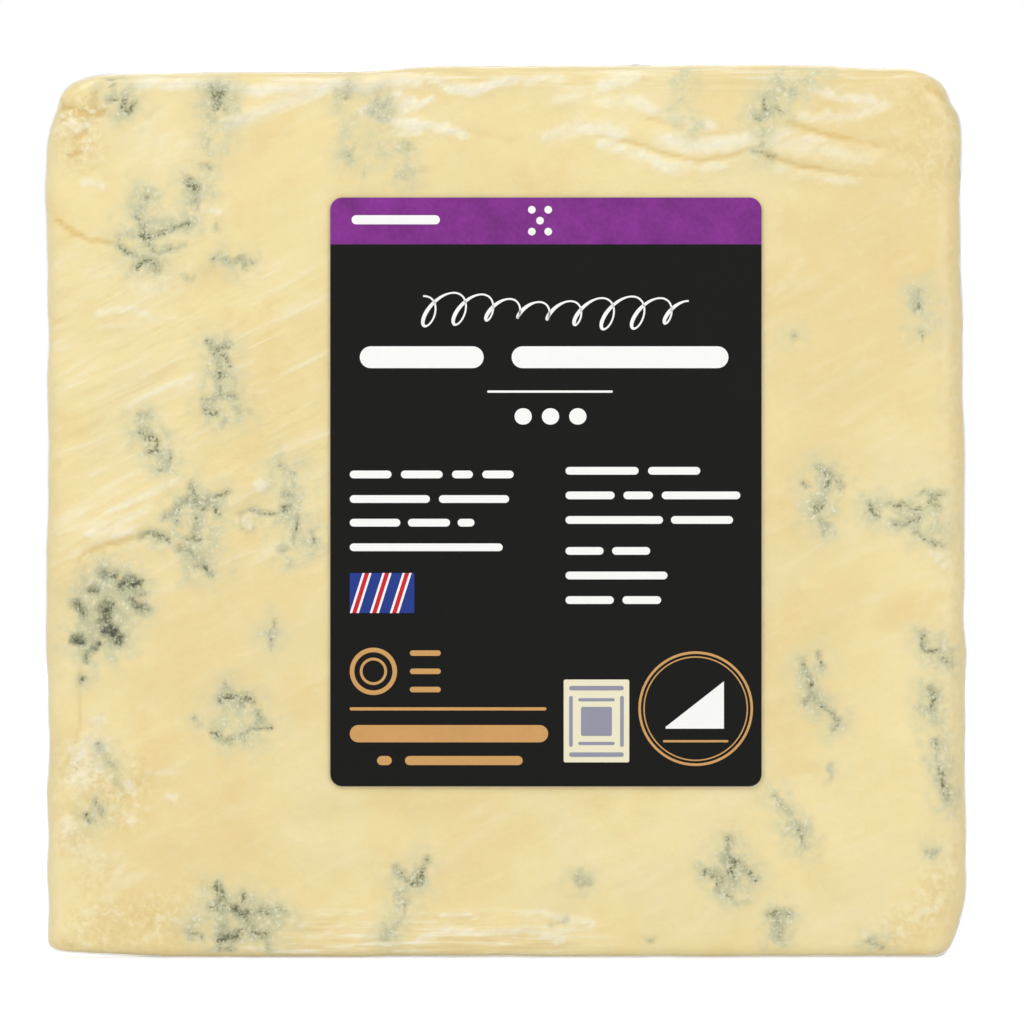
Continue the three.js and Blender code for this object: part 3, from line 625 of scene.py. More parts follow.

# Pale lines where the film presses the paste, mostly beside the creases: partly greasy smears, and
# painted as the film's highlights along the folds.
FRONT_SMEARS = [
    (0.7, 0.9, [(-40.4, 96.0), (-33.6, 96.2), (-27.0, 95.4), (-18.6, 96.0)]),
    (0.8, 0.85, [(-30.8, 91.6), (-27.0, 93.0), (-23.6, 94.3), (-20.2, 95.5)]),
    (2.6, 0.4, [(-39.2, 90.6), (-35.6, 88.4)]),
    (2.0, 0.35, [(-40.6, 73.6), (-35.0, 74.6)]),
    (0.5, 1.1, [(-14.6, 92.4), (-11.4, 91.9), (-7.4, 91.4), (-4.6, 90.6)]),
    (0.4, 0.8, [(-12.6, 90.6), (-9.4, 90.8)]),
    (0.8, 0.8, [(4.4, 90.4), (8.4, 91.4), (12.6, 90.6)]),
    (0.5, 1.1, [(-8.4, 96.8), (-6.6, 95.8), (-3.6, 95.4), (-1.0, 96.2), (1.0, 96.6)]),
    (0.6, 1.1, [(-18.6, 96.2), (-15.6, 95.4), (-12.6, 96.4), (-9.6, 96.4)]),
    (0.5, 1.0, [(-15.8, 93.2), (-13.0, 94.2), (-11.0, 93.2)]),
    (0.4, 0.9, [(-12.2, 95.2), (-9.6, 93.8), (-8.0, 94.6)]),
    (0.6, 0.6, [(2.4, 96.4), (6.4, 97.0)]),
    (0.7, 0.6, [(5.6, 94.4), (9.6, 94.6), (12.4, 93.8)]),
    (0.6, 0.8, [(10.4, 96.0), (14.2, 96.8)]),
    (0.7, 0.8, [(10.4, 89.6), (13.6, 88.8), (17.0, 87.4), (18.6, 86.4)]),
    (0.7, 0.7, [(13.0, 94.6), (16.4, 93.2), (19.8, 92.0), (22.6, 91.6)]),
    (0.7, 0.6, [(17.4, 87.0), (20.0, 86.8)]),
    (0.8, 0.6, [(32.6, 92.6), (36.0, 92.3), (38.6, 92.9), (41.6, 94.0)]),
    (0.6, 0.7, [(33.4, 95.4), (37.6, 94.6), (40.4, 94.2)]),
    (1.1, 0.6, [(29.6, 90.0), (33.4, 89.0), (36.6, 88.4)]),
    (0.8, 0.45, [(36.0, 88.6), (40.0, 87.9)]),
    (0.4, 0.7, [(29.4, 91.2), (32.0, 90.4), (35.4, 89.7)]),
    (0.6, 0.5, [(29.8, 86.9), (33.4, 86.0), (38.6, 85.4)]),
    (1.0, 0.8, [(17.0, 90.2), (20.6, 89.3), (24.4, 89.6), (27.2, 90.2)]),
    (0.5, 0.7, [(18.4, 87.2), (21.4, 86.9), (24.0, 87.2)]),
    (0.9, 0.6, [(-49.2, 91.6), (-47.4, 91.2), (-46.0, 91.8)]),
    (0.8, 0.5, [(-42.6, 96.4), (-41.0, 95.6)]),
    (0.4, 0.8, [(-34.8, 83.6), (-33.6, 83.8)]),
    (0.4, 0.7, [(-33.6, 82.3), (-31.6, 82.1)]),
    (0.5, 0.7, [(-46.6, 85.4), (-44.4, 85.0)]),
    (0.45, 0.5, [(-36.6, 79.4), (-32.6, 80.0)]),
    (0.4, 0.6, [(-40.2, 75.5), (-38.6, 75.4)]),
    (0.45, 0.6, [(-45.0, 71.0), (-41.0, 71.4), (-37.6, 70.4)]),
    (0.45, 0.5, [(-44.6, 69.4), (-40.4, 69.8), (-36.2, 70.4)]),
    (0.45, 0.5, [(-40.0, 64.0), (-35.8, 66.2)]),
    (0.45, 0.5, [(-41.6, 60.6), (-38.8, 62.2), (-34.4, 64.0)]),
    (0.5, 0.5, [(-40.6, 54.6), (-37.2, 56.4)]),
    (0.5, 0.7, [(-43.8, 49.2), (-39.4, 51.0), (-36.4, 52.4)]),
    (0.6, 0.75, [(-46.0, 46.4), (-44.0, 47.2), (-41.6, 48.4), (-39.4, 49.6)]),
    (0.5, 0.7, [(-43.2, 46.6), (-41.0, 47.0)]),
    (0.4, 0.7, [(-39.2, 45.1), (-36.6, 45.6)]),
    (0.6, 1.0, [(-27.0, 52.1), (-26.8, 52.0)]),
    (0.5, 0.8, [(-28.6, 48.2), (-28.2, 47.4)]),
    (0.4, 0.9, [(-44.8, 41.0), (-44.3, 40.6)]),
    (0.4, 0.8, [(-42.2, 40.2), (-41.2, 40.2)]),
    (0.4, 0.8, [(-42.9, 36.6), (-42.6, 37.0)]),
    (0.6, 1.0, [(-45.3, 26.2), (-44.4, 26.4)]),
    (1.3, 0.6, [(-46.6, 19.6), (-45.4, 22.4), (-45.0, 24.6)]),
    (3.0, 0.35, [(-47.0, 12.0), (-42.0, 9.0)]),
    (0.6, 0.8, [(-47.6, 21.6), (-46.4, 23.0), (-46.0, 24.6)]),
    (0.6, 0.9, [(-45.6, 24.2), (-44.2, 23.0)]),
    (1.0, 0.6, [(-47.8, 23.4), (-46.4, 22.4), (-47.8, 19.6)]),
    (0.4, 1.0, [(-41.5, 19.4), (-41.2, 18.6)]),
    (0.4, 0.8, [(-37.2, 17.9), (-36.6, 17.7)]),
    (0.4, 0.8, [(-41.3, 15.2), (-41.0, 15.0)]),
    (0.3, 0.9, [(-45.4, 16.2), (-45.3, 15.6)]),
    (0.9, 0.6, [(-48.2, 15.0), (-47.8, 12.6)]),
    (0.5, 0.5, [(-39.6, 20.4), (-36.6, 20.6)]),
    (0.3, 0.5, [(-26.0, 4.2), (-18.0, 3.7), (-12.4, 3.8)]),
    (0.3, 0.5, [(-27.4, 3.1), (-20.6, 2.5), (-13.4, 2.7)]),
    (0.3, 0.45, [(-24.8, 1.8), (-17.2, 1.3), (-9.6, 1.8)]),
    (0.3, 0.4, [(-21.0, 5.0), (-12.0, 4.9)]),
    (0.5, 0.8, [(-9.6, 2.2), (-6.2, 3.3), (-2.6, 2.8), (2.4, 3.2), (6.2, 2.0)]),
    (0.3, 0.7, [(-7.0, 4.9), (-3.4, 4.6)]),
    (0.3, 0.7, [(1.0, 4.8), (3.4, 5.2), (9.2, 3.8)]),
    (0.3, 0.6, [(4.6, 2.9), (9.6, 3.3)]),
    (0.4, 0.8, [(39.4, 2.8), (40.6, 2.2)]),
    (0.5, 0.6, [(45.6, 5.4), (47.2, 5.6)]),
    (0.5, 0.5, [(29.6, 73.4), (32.4, 76.6)]),
    (0.5, 0.7, [(46.6, 44.6), (48.6, 43.2)]),
    (0.35, 0.6, [(47.2, 22.4), (47.5, 20.6)]),
]


def walk(random, spot, angle, steps, stride, bend_by):
    """A bent path: each step turns by a random amount."""
    path = [tuple(spot)]
    for _ in range(steps):
        angle += random.normal(0, bend_by)
        spot = spot + random.uniform(*stride) * np.array([math.cos(angle), math.sin(angle)])
        path.append(tuple(spot))
    return path


def grown_veins(random, low, high, count):
    """Veins for a hidden face, with their bloom and mould. Each cluster is a few crooked arms
    from a middle, with specks round it, and one in three has a second cluster close by."""
    veins, bloom, mould = [], [], []
    for _ in range(count):
        middle = random.uniform(low, high)
        for spot in [middle] + [middle + random.normal(0, 3.2, 2)] * (random.random() < 0.35):
            arms = random.integers(2, 7)
            lean = random.uniform(0, TAU)
            for arm in range(arms):
                start = spot + random.normal(0, 0.5, 2)
                angle = lean + TAU * arm / arms + random.normal(0, 0.5)
                path = walk(random, start, angle, random.integers(2, 5), (0.6, 1.3), 0.6)
                veins.append((random.uniform(0.22, 0.38), random.uniform(0.6, 1.1), path))
            for _ in range(3):
                veins.append((0.3, random.uniform(0.5, 1.0), [tuple(spot + random.normal(0, 2, 2))]))
            bloom.append((random.uniform(2.2, 3.6), random.uniform(0.35, 0.6), [tuple(spot)]))
            for _ in range(random.integers(0, 4)):
                blot = tuple(spot + random.normal(0, 1.4, 2))
                mould.append((random.uniform(0.5, 0.9), random.uniform(0.4, 0.9), [blot]))
    return veins, bloom, mould


def grown_folds(random, low, high, count, lean):
    """Long, gently bent folds for a hidden face, most of them leaning one way."""
    folds = []
    for _ in range(count):
        spot = random.uniform(low, high)
        path = walk(random, spot, lean + random.normal(0, 0.35), 5, (1.5, 3.2), 0.16)
        folds.append((random.uniform(0.4, 0.7), random.uniform(0.4, 0.8), path))
    return folds


HIDDEN = np.random.default_rng(7)
BACK_LOW, BACK_HIGH = (13, 3), (WHEEL_RADIUS - 5, HEIGHT - 3)
END_LOW, END_HIGH = (-38, film_low[1] + 3), (46, film_high[1] - 3)
BACK_VEINS, BACK_BLOOM, BACK_MOULD = grown_veins(HIDDEN, BACK_LOW, BACK_HIGH, 26)
END_VEINS, END_BLOOM, END_MOULD = grown_veins(HIDDEN, END_LOW, END_HIGH, 9)
BACK_TORN = [
    (2.4, 0.6, [(14, 92), (16, 86)]),
    (3.0, 0.5, [(108, 90), (110, 80)]),
    (3.0, 0.5, [(12, 12), (13, 22)]),
]
BACK_CREASES = grown_folds(HIDDEN, BACK_LOW, BACK_HIGH, 9, 0.1)
BACK_SMEARS = grown_folds(HIDDEN, BACK_LOW, BACK_HIGH, 26, 0.4)
END_CREASES = grown_folds(HIDDEN, END_LOW, END_HIGH, 2, 0.0)
END_SMEARS = grown_folds(HIDDEN, END_LOW, END_HIGH, 6, 0.1)

# The film's own joins: the two edges of the lap down the hidden cut face, with short pulls
# beside them, and the folds of its gathered ends.
BACK_JOINS = [
    (0.8, 1.0, [(58.0, -2.0), (57.6, 30.0), (58.3, 66.0), (58.0, 100.0)]),
    (0.7, 0.7, [(67.0, 0.0), (66.6, 40.0), (67.3, 98.0)]),
    (0.7, 0.6, [(60.0, 78.0), (70.0, 83.0)]),
    (0.7, 0.6, [(60.0, 52.0), (68.0, 50.0)]),
    (0.7, 0.6, [(57.0, 22.0), (48.0, 26.0)]),
    (0.7, 0.5, [(57.0, 61.0), (47.0, 58.5)]),
    (0.7, 0.6, [(60.0, 12.0), (71.0, 8.0)]),
]
END_JOINS = [
    (0.9, 0.9, [(50.0, -18.0), (38.0, -7.0), (22.0, -1.0), (4.0, -6.0), (-30.0, -16.0)]),
    (0.9, 0.9, [(50.0, 18.0), (40.0, 8.0), (22.0, -1.0)]),
    (0.8, 0.7, [(38.0, -7.0), (39.0, 0.0), (40.0, 8.0)]),
    (0.7, 0.6, [(46.0, -10.0), (42.0, -6.0)]),
    (0.7, 0.6, [(47.0, 10.0), (43.0, 5.0)]),
    (0.7, 0.6, [(-6.0, -17.0), (4.0, -9.0)]),
    (0.7, 0.6, [(14.0, -18.0), (18.0, -8.0)]),
]


def facing(normal):
    """How far each point looks to the front, to the back and up or down, 0 to 1."""
    flat = np.abs(normal[..., 2])
    to_front = smooth(0.25, 0.75, -normal[..., 1])
    to_back = smooth(0.25, 0.75, normal[..., 1]) * smooth(0.6, 0.2, flat)
    return to_front, to_back, smooth(0.6, 0.95, flat)


def on_faces(grid, normal, front, back, ends, spread=1.0, shift=0.0, sway=0.0):
    """The strokes of every face as one field: the front's by x and z, the back's by distance
    from the wheel's middle and z, and the flat ends' by x and y."""
    x, y, z = grid[..., 0] + sway, grid[..., 1], grid[..., 2] + sway
    reach = np.linalg.norm(grid[..., :2] - APEX, axis=-1) + sway
    to_front, to_back, to_end = facing(normal)
    field = to_front * ridges(x, z - shift, front, spread)
    field = np.maximum(field, to_back * ridges(reach, z - shift, back, spread))
    return np.maximum(field, to_end * ridges(x, y - shift, ends, spread))


def creases(grid, normal, spread, shift=0.0, sway=0.0):
    """Every face's creases, `spread` times as wide as laid out and `shift` mm further up."""
    return on_faces(grid, normal, FRONT_CREASES, BACK_CREASES, END_CREASES, spread, shift, sway)


def smears(grid, normal, spread, sway=0.0):
    """Every face's smears, `spread` times as wide as laid out."""
    return on_faces(grid, normal, FRONT_SMEARS, BACK_SMEARS, END_SMEARS, spread, 0.0, sway)


def unevenness(grid, normal):
    """How far the wrapped paste stands in or out, mm, shared by the cheese and its film: broad
    swells, a raised fold above each crease, the sunk crease itself and the raised smears. It is
    less on the flat ends, and nothing under the label."""
    flat = 1 - 0.6 * smooth(0.6, 0.95, np.abs(normal[..., 2]))
    broad = 0.10 * waves(grid, 24, 1) + 0.06 * waves(grid, 8, 2)
    folds = 0.16 * creases(grid, normal, 2.6, 0.6) + 0.24 * creases(grid, normal, 5.0, 1.7)
    folds = folds - 0.26 * creases(grid, normal, 1.1) + 0.16 * smears(grid, normal, 1.4)
    return np.minimum((broad + folds) * flat, 0.3) * (1 - label_room(grid))


# ---- Building materials ------------------------------------------------------------------

def colour(red, green, blue):
    """A screen colour, 0 to 255 a channel, as the renderer's linear one."""
    channels = [c / 255 for c in (red, green, blue)]
    return tuple(((c + 0.055) / 1.055) ** 2.4 if c > 0.04045 else c / 12.92
                 for c in channels) + (1.0,)


class Bench:
    """Adds nodes to one tree. An input given as a socket is linked, and as a number is set."""

    def __init__(self, tree):
        self.tree = tree

    def feed(self, socket, value):
        if isinstance(value, bpy.types.NodeSocket):
            self.tree.links.new(value, socket)
        else:
            socket.default_value = value

    def node(self, kind, inputs=(), **settings):
        node = self.tree.nodes.new(kind)
        for name, value in settings.items():
            setattr(node, name, value)
        for name, value in dict(inputs).items():
            self.feed(node.inputs[name], value)
        return node

    def maths(self, operation, a, b):
        return self.node("ShaderNodeMath", {0: a, 1: b}, operation=operation).outputs[0]

    def plus(self, a, b):
        return self.maths("ADD", a, b)

    def times(self, a, b):
        return self.maths("MULTIPLY", a, b)

    def swing(self, noise, reach):
        """Noise about 0.5 as a number about 0, times reach."""
        return self.times(self.maths("SUBTRACT", noise, 0.5), reach)

    def ease(self, value, low, high, to_low=0.0, to_high=1.0):
        """to_low up to low and to_high from high, with a smooth step between; low may be larger."""
        inputs = {"Value": value, "From Min": low, "From Max": high,
                  "To Min": to_low, "To Max": to_high}
        return self.node("ShaderNodeMapRange", inputs, interpolation_type="SMOOTHSTEP").outputs[0]

    def blend(self, share, under, over):
        node = self.node("ShaderNodeMix", {0: share, 6: under, 7: over}, data_type="RGBA")
        return node.outputs[2]

    def tint(self, under, share, red, green, blue):
        """Lays a screen colour over another one, by a share from 0 to 1."""
        return self.blend(share, under, colour(red, green, blue))

    def field(self, name):
        """A number that keep_field has stored on the piece."""
        return self.node("ShaderNodeAttribute", attribute_name=name).outputs["Fac"]

    def place(self):
        """Where a point is on the piece itself."""
        return self.node("ShaderNodeTexCoord").outputs["Object"]

    def leaning(self, place, stretch, degrees):
        """Coordinates for streaks: longer by `stretch`, and rising to the rind by so many degrees."""
        inputs = {"Vector": place, "Scale": stretch, "Rotation": (0, math.radians(-degrees), 0)}
        return self.node("ShaderNodeMapping", inputs, vector_type="TEXTURE").outputs[0]

    def noise(self, length, place, detail, rough, warp=0.0):
        """Noise with features about `length` millimetres across."""
        inputs = {"Vector": place, "Scale": 1 / (length * MM), "Detail": detail,
                  "Roughness": rough, "Distortion": warp}
        return self.node("ShaderNodeTexNoise", inputs).outputs[0]

    def bump(self, height, distance):
        return self.node("ShaderNodeBump", {"Height": height, "Distance": distance * MM}).outputs[0]

    def mix(self, share, first, second):
        """One shader, turning into a second one as share goes from 0 to 1."""
        return self.node("ShaderNodeMixShader", {0: share, 1: first, 2: second}).outputs[0]


def new_material(name):
    """An empty material, its bench, and the socket that takes its finished shader."""
    material = bpy.data.materials.new(name)
    material.use_nodes = True
    material.node_tree.nodes.clear()
    bench = Bench(material.node_tree)
    return material, bench, bench.node("ShaderNodeOutputMaterial").inputs["Surface"]


def cream_paste(b, place, streak, line_up, fine):
    """Mottled cream, with the film's streaks painted in as pale highlight and darker shade,
    rising towards the rind, and level ones along the base and the top edge."""
    slant_sheen, taut_sheen = b.field("slant_sheen"), b.field("taut_sheen")
    broad = b.noise(26, place, 3, 0.55)
    cloud = b.noise(9, place, 4, 0.55, 0.4)
    green = b.noise(14, place, 3, 0.5)
    paste = b.blend(b.ease(broad, 0.36, 0.64), colour(238, 217, 155), colour(245, 227, 168))
    paste = b.tint(paste, b.ease(cloud, 0.5, 0.72, 0, 0.6), 236, 210, 140)
    paste = b.tint(paste, b.ease(green, 0.5, 0.7, 0, 0.6), 239, 226, 174)
    # Painted highlight and shade of the film's slanting wrinkles.
    paste = b.tint(paste, b.times(b.ease(streak, 0.5, 0.76, 0, 0.75), slant_sheen), 250, 239, 205)
    paste = b.tint(paste, b.times(b.ease(streak, 0.48, 0.3, 0, 0.35), slant_sheen), 231, 206, 144)
    # Painted highlight and shade of the film's level lines along the base and the top edge.
    paste = b.tint(paste, b.times(b.ease(line_up, 0.5, 0.66), taut_sheen), 251, 243, 216)
    paste = b.tint(paste, b.times(b.ease(line_up, 0.48, 0.36, 0, 0.6), taut_sheen), 228, 205, 150)
    return b.tint(paste, b.ease(fine, 0.5, 0.8, 0, 0.2), 248, 238, 204)


def handled_paste(b, paste, streak, fine, lump):
    """Ochre lines painted in the creases as shade; pale smears, painted as the film's highlights
    along the folds and partly greasy; and crumbly places whose ochre hollows and white crumb
    tops follow the bump, painted as shade and highlight."""
    torn = b.field("torn")
    # Painted shade: a warm, darker line along each sunk crease.
    crease_shade = b.plus(b.field("crease"), b.swing(fine, 0.5))
    paste = b.tint(paste, b.ease(crease_shade, 0.15, 1.1, 0, 0.8), 226, 193, 112)
    # Painted highlight: pale lines along the raised folds where the film catches the light, partly
    # greasy smears.
    smear_highlight = b.plus(b.field("smear_sheen"), b.swing(fine, 0.5))
    smear_highlight = b.times(smear_highlight, b.ease(streak, 0.36, 0.56, 0.7, 1.15))
    paste = b.tint(paste, b.ease(smear_highlight, 0.08, 1.1, 0, 0.9), 253, 246, 219)
    # Painted shade in the crumbs' hollows and painted highlight on their tops, following the bump.
    paste = b.tint(paste, b.times(torn, b.ease(lump, 0.54, 0.36)), 222, 197, 128)
    return b.tint(paste, b.times(torn, b.ease(lump, 0.52, 0.66)), 253, 247, 222)


def mouldy_paste(b, paste, place, grit):
    """Bloom round the veins, grey-green and then blue-grey with pale crumbs; soft olive blots;
    and each vein as a grey-green edge, a chain of dark specks and a nearly black core."""
    vein = b.field("vein")
    mottle = b.noise(1.9, place, 4, 0.6, 0.5)
    thick = b.times(b.field("bloom"), b.ease(mottle, 0.25, 0.7, 0.35, 1.3))
    paste = b.tint(paste, b.ease(thick, 0.02, 0.6, 0, 0.9), 220, 213, 168)
    paste = b.tint(paste, b.ease(thick, 0.35, 0.95, 0, 0.8), 190, 190, 150)
    crumbs = b.times(b.ease(grit, 0.54, 0.68), b.ease(thick, 0.2, 0.6))
    paste = b.tint(paste, b.times(crumbs, 0.65), 242, 240, 220)

    blot = b.times(b.field("mould"), b.ease(grit, 0.36, 0.6, 0.55, 1.15))
    paste = b.tint(paste, b.ease(blot, 0.08, 0.9, 0, 0.95), 98, 104, 50)
    edge = b.plus(vein, b.swing(grit, 0.9))
    along = b.noise(1.5, place, 2, 0.5)
    grown = b.maths("MAXIMUM", b.ease(along, 0.4, 0.56, 0.25, 1.0), blot)
    paste = b.tint(paste, b.ease(edge, 0.85, 0.0, 0, 0.5), 178, 181, 146)
    paste = b.tint(paste, b.times(b.ease(edge, 0.2, -0.1, 0, 0.7), grown), 140, 142, 98)
    speck = b.noise(0.32, place, 2, 0.6)
    specks = b.times(b.ease(speck, 0.5, 0.6, 0, 0.9), b.ease(vein, 0.42, 0.0))
    paste = b.tint(paste, b.times(specks, grown), 88, 82, 34)
    core = b.times(b.ease(edge, 0.3, -0.1), b.ease(blot, 0.35, 0.85, 0, 0.95))
    paste = b.tint(paste, core, 42, 44, 8)
    glint = b.times(b.ease(speck, 0.4, 0.34, 0, 0.5), b.ease(edge, 1.0, 0.4))
    return b.tint(paste, b.times(glint, b.ease(thick, 0.2, 0.6)), 250, 248, 230)


def with_rind(b, paste, place, grit):
    """Tan and grey natural rind, with paler dust and brown pits, over the paste's outer edge."""
    rind = b.field("rind")
    dust = b.noise(3.2, place, 5, 0.62, 0.6)
    patch = b.noise(11, place, 3, 0.55)
    skin = b.blend(b.ease(dust, 0.35, 0.65), colour(150, 122, 84), colour(196, 178, 140))
    skin = b.tint(skin, b.ease(patch, 0.48, 0.68, 0, 0.8), 214, 205, 182)
    skin = b.tint(skin, b.ease(grit, 0.58, 0.74, 0, 0.6), 120, 92, 58)
    worn = b.plus(rind, b.swing(dust, 0.7))
    paste = b.tint(paste, b.ease(rind, 0.02, 0.3, 0, 0.8), 214, 190, 138)
    return b.blend(b.ease(worn, 0.32, 0.75), paste, skin)


def cheese_material():
    """Cream paste with mottling, creases, smears, blue-green veins, and the natural rind."""
    material, b, surface = new_material("blue_cheese")
    place = b.place()
    fine = b.noise(1.1, place, 3, 0.6)
    grit = b.noise(0.5, place, 3, 0.65)
    lump = b.noise(0.9, place, 3, 0.65, 0.4)
    streak = b.noise(1.5, b.leaning(place, (5.5, 2.5, 1.0), 27), 3, 0.55, 0.5)
    level = b.node("ShaderNodeMapping", {"Vector": place, "Scale": (0.08, 0.4, 1.0)}).outputs[0]
    line_up = b.noise(0.7, level, 3, 0.6, 0.2)

    paste = cream_paste(b, place, streak, line_up, fine)
    paste = handled_paste(b, paste, streak, fine, lump)
    paste = mouldy_paste(b, paste, place, grit)

    height = b.plus(fine, b.times(grit, b.times(b.field("bloom"), 1.2)))
    height = b.plus(height, b.times(lump, b.times(b.field("torn"), 3.0)))
    height = b.plus(height, b.times(b.times(streak, b.field("slant_sheen")), 2.0))
    height = b.plus(height, b.times(b.times(line_up, b.field("taut_sheen")), 1.6))
    shader = b.node("ShaderNodeBsdfPrincipled", {
        "Base Color": with_rind(b, paste, place, grit),
        "Roughness": b.plus(b.ease(fine, 0.3, 0.7, 0.42, 0.56), b.times(b.field("rind"), 0.3)),
        "Normal": b.bump(height, 0.12),
        "Subsurface Weight": 0.2,
        "Subsurface Radius": (1.0, 0.7, 0.35),
        "Subsurface Scale": 1.1 * MM,
        "IOR": 1.45,
    })
    b.feed(surface, shader.outputs[0])
    return material


def film_material():
    """Clear film: it mirrors by angle, on its outside only, and turns slightly milky where it is
    slack or doubled."""
    material, b, surface = new_material("clear_film")
    place = b.place()
    pull = b.noise(1.7, b.leaning(place, (5.0, 2.5, 1.0), 22), 3, 0.6, 0.4)
    ripple = b.noise(6.0, place, 2, 0.5)
    normal = b.bump(b.plus(b.times(pull, 0.5), ripple), 0.25)
    milk = b.ease(b.plus(b.field("slack"), b.swing(pull, 0.4)), 0.15, 1.0, 0.012, 0.28)
    clear = b.node("ShaderNodeBsdfTransparent", {"Color": (1, 1, 1, 1)}).outputs[0]
    haze = b.node("ShaderNodeBsdfDiffuse", {"Color": colour(244, 243, 236)}).outputs[0]
    mirror = b.node("ShaderNodeBsdfGlossy", {"Roughness": 0.16, "Normal": normal}).outputs[0]
    outside = b.maths("SUBTRACT", 1.0, b.node("ShaderNodeNewGeometry").outputs["Backfacing"])
    angle = b.node("ShaderNodeFresnel", {"IOR": 1.4, "Normal": normal}).outputs[0]
    share = b.times(b.maths("MINIMUM", angle, 0.35), outside)
    b.feed(surface, b.mix(share, b.mix(milk, clear, haze), mirror))
    return material


def print_grain_group():
    """The faint mottle of ink on coated paper: a shade to multiply by, and a height."""
    group = bpy.data.node_groups.new("print_grain", "ShaderNodeTree")
    group.interface.new_socket("Colour", in_out="INPUT", socket_type="NodeSocketColor")
    group.interface.new_socket("Mottle", in_out="INPUT", socket_type="NodeSocketFloat")
    group.interface.new_socket("Colour", in_out="OUTPUT", socket_type="NodeSocketColor")
    group.interface.new_socket("Height", in_out="OUTPUT", socket_type="NodeSocketFloat")
    b = Bench(group)
    given = b.node("NodeGroupInput").outputs
    result = b.node("NodeGroupOutput").inputs
    place = b.place()
    fibre = b.noise(0.5, place, 3, 0.6)
    cloud = b.noise(3.5, place, 3, 0.6)
    shade = b.plus(b.times(fibre, 0.4), b.times(cloud, 0.6))
    scale = b.plus(b.swing(shade, given["Mottle"]), 1.0)
    tinted = b.node("ShaderNodeVectorMath", {0: given["Colour"], "Scale": scale},
                    operation="SCALE")
    b.feed(result["Colour"], tinted.outputs[0])
    b.feed(result["Height"], fibre)
    return group


def print_material(name, group, ink, mottle, roughness):
    """One ink, or the bare paper, with the print grain's mottle in its colour and its surface."""
    material, b, surface = new_material(name)
    grain = b.node("ShaderNodeGroup")
    grain.node_tree = group
    b.feed(grain.inputs["Colour"], colour(*ink))
    b.feed(grain.inputs["Mottle"], mottle)
    shader = b.node("ShaderNodeBsdfPrincipled", {
        "Base Color": grain.outputs["Colour"],
        "Normal": b.bump(grain.outputs["Height"], 0.012),
        "Roughness": roughness,
        "IOR": 1.2,
    })
    b.feed(surface, shader.outputs[0])
    return material


# ---- The cheese --------------------------------------------------------------------------

def front_steps(fine, middle):
    """Shares along the labelled cut face, `fine` mm apart beside the label and `middle` behind it."""
    start, end = film_low[0] + THIN_RADIUS, film_low[0] + FACE_WIDTH - RIND_RADIUS
    left = np.arange(start, label_low[0], fine)
    behind = np.arange(label_low[0], label_high[0], middle)
    right = np.arange(label_high[0], end - 0.4 * fine, fine)
    return (np.concatenate([left, behind, right]) - start) / (end - start)


def rind_share(grid, normal):
    """1 on the curved side and 0 on the cut faces, by the normal's heading seen from above. It
    starts at a wavy line 2 to 4 mm behind the labelled face, and just tints that face's edge."""
    x, behind = grid[..., 0], grid[..., 1] - APEX[1]
    level = np.linalg.norm(normal[..., :2], axis=-1)
    turned = np.degrees(np.arccos(np.clip(normal[..., 0] / np.maximum(level, 1e-6), -1, 1)))
    share = smooth(50, 20, turned) * smooth(0.55, 0.85, level) * (x > 30)
    share = share * smooth(2.2, 4.0, behind + 0.35 * waves(grid, 6, 8))
    return np.maximum(share, 0.1 * smooth(45.0, 49.0, x))


def veins_and_bloom(grid, normal):
    """The distance to the nearest vein's edge, the strength of the bloom round the veins,
    1 - (1 - halo)(1 - patch), and the sway of the points that both are read at, which makes
    the veins wander as real cracks do."""
    x, y, z = grid[..., 0], grid[..., 1], grid[..., 2]
    reach = np.linalg.norm(grid[..., :2] - APEX, axis=-1)
    to_front, to_back, to_end = facing(normal)
    sway = np.stack([waves(grid, 1.6, 11), waves(grid, 1.6, 12)], -1)
    vein = np.full_like(x, VEIN_REACH)
    bloom = np.zeros_like(x)
    for share, across, up, veins, patches in (
            (to_front, x, z, FRONT_VEINS, FRONT_BLOOM),
            (to_back, reach, z, BACK_VEINS, BACK_BLOOM),
            (to_end, x, y, END_VEINS, END_BLOOM)):
        gap = nearest_stroke(across + 0.14 * sway[..., 0], up + 0.14 * sway[..., 1], veins)
        vein = np.minimum(vein, VEIN_REACH - share * (VEIN_REACH - gap))
        across, up = across + 0.3 * sway[..., 0], up + 0.3 * sway[..., 1]
        halo = ridges(across, up, [(2.2, 0.36 * strength, path) for _, strength, path in veins])
        bloom = np.maximum(bloom, share * (1 - (1 - halo) * (1 - ridges(across, up, patches))))
    return vein, bloom, sway


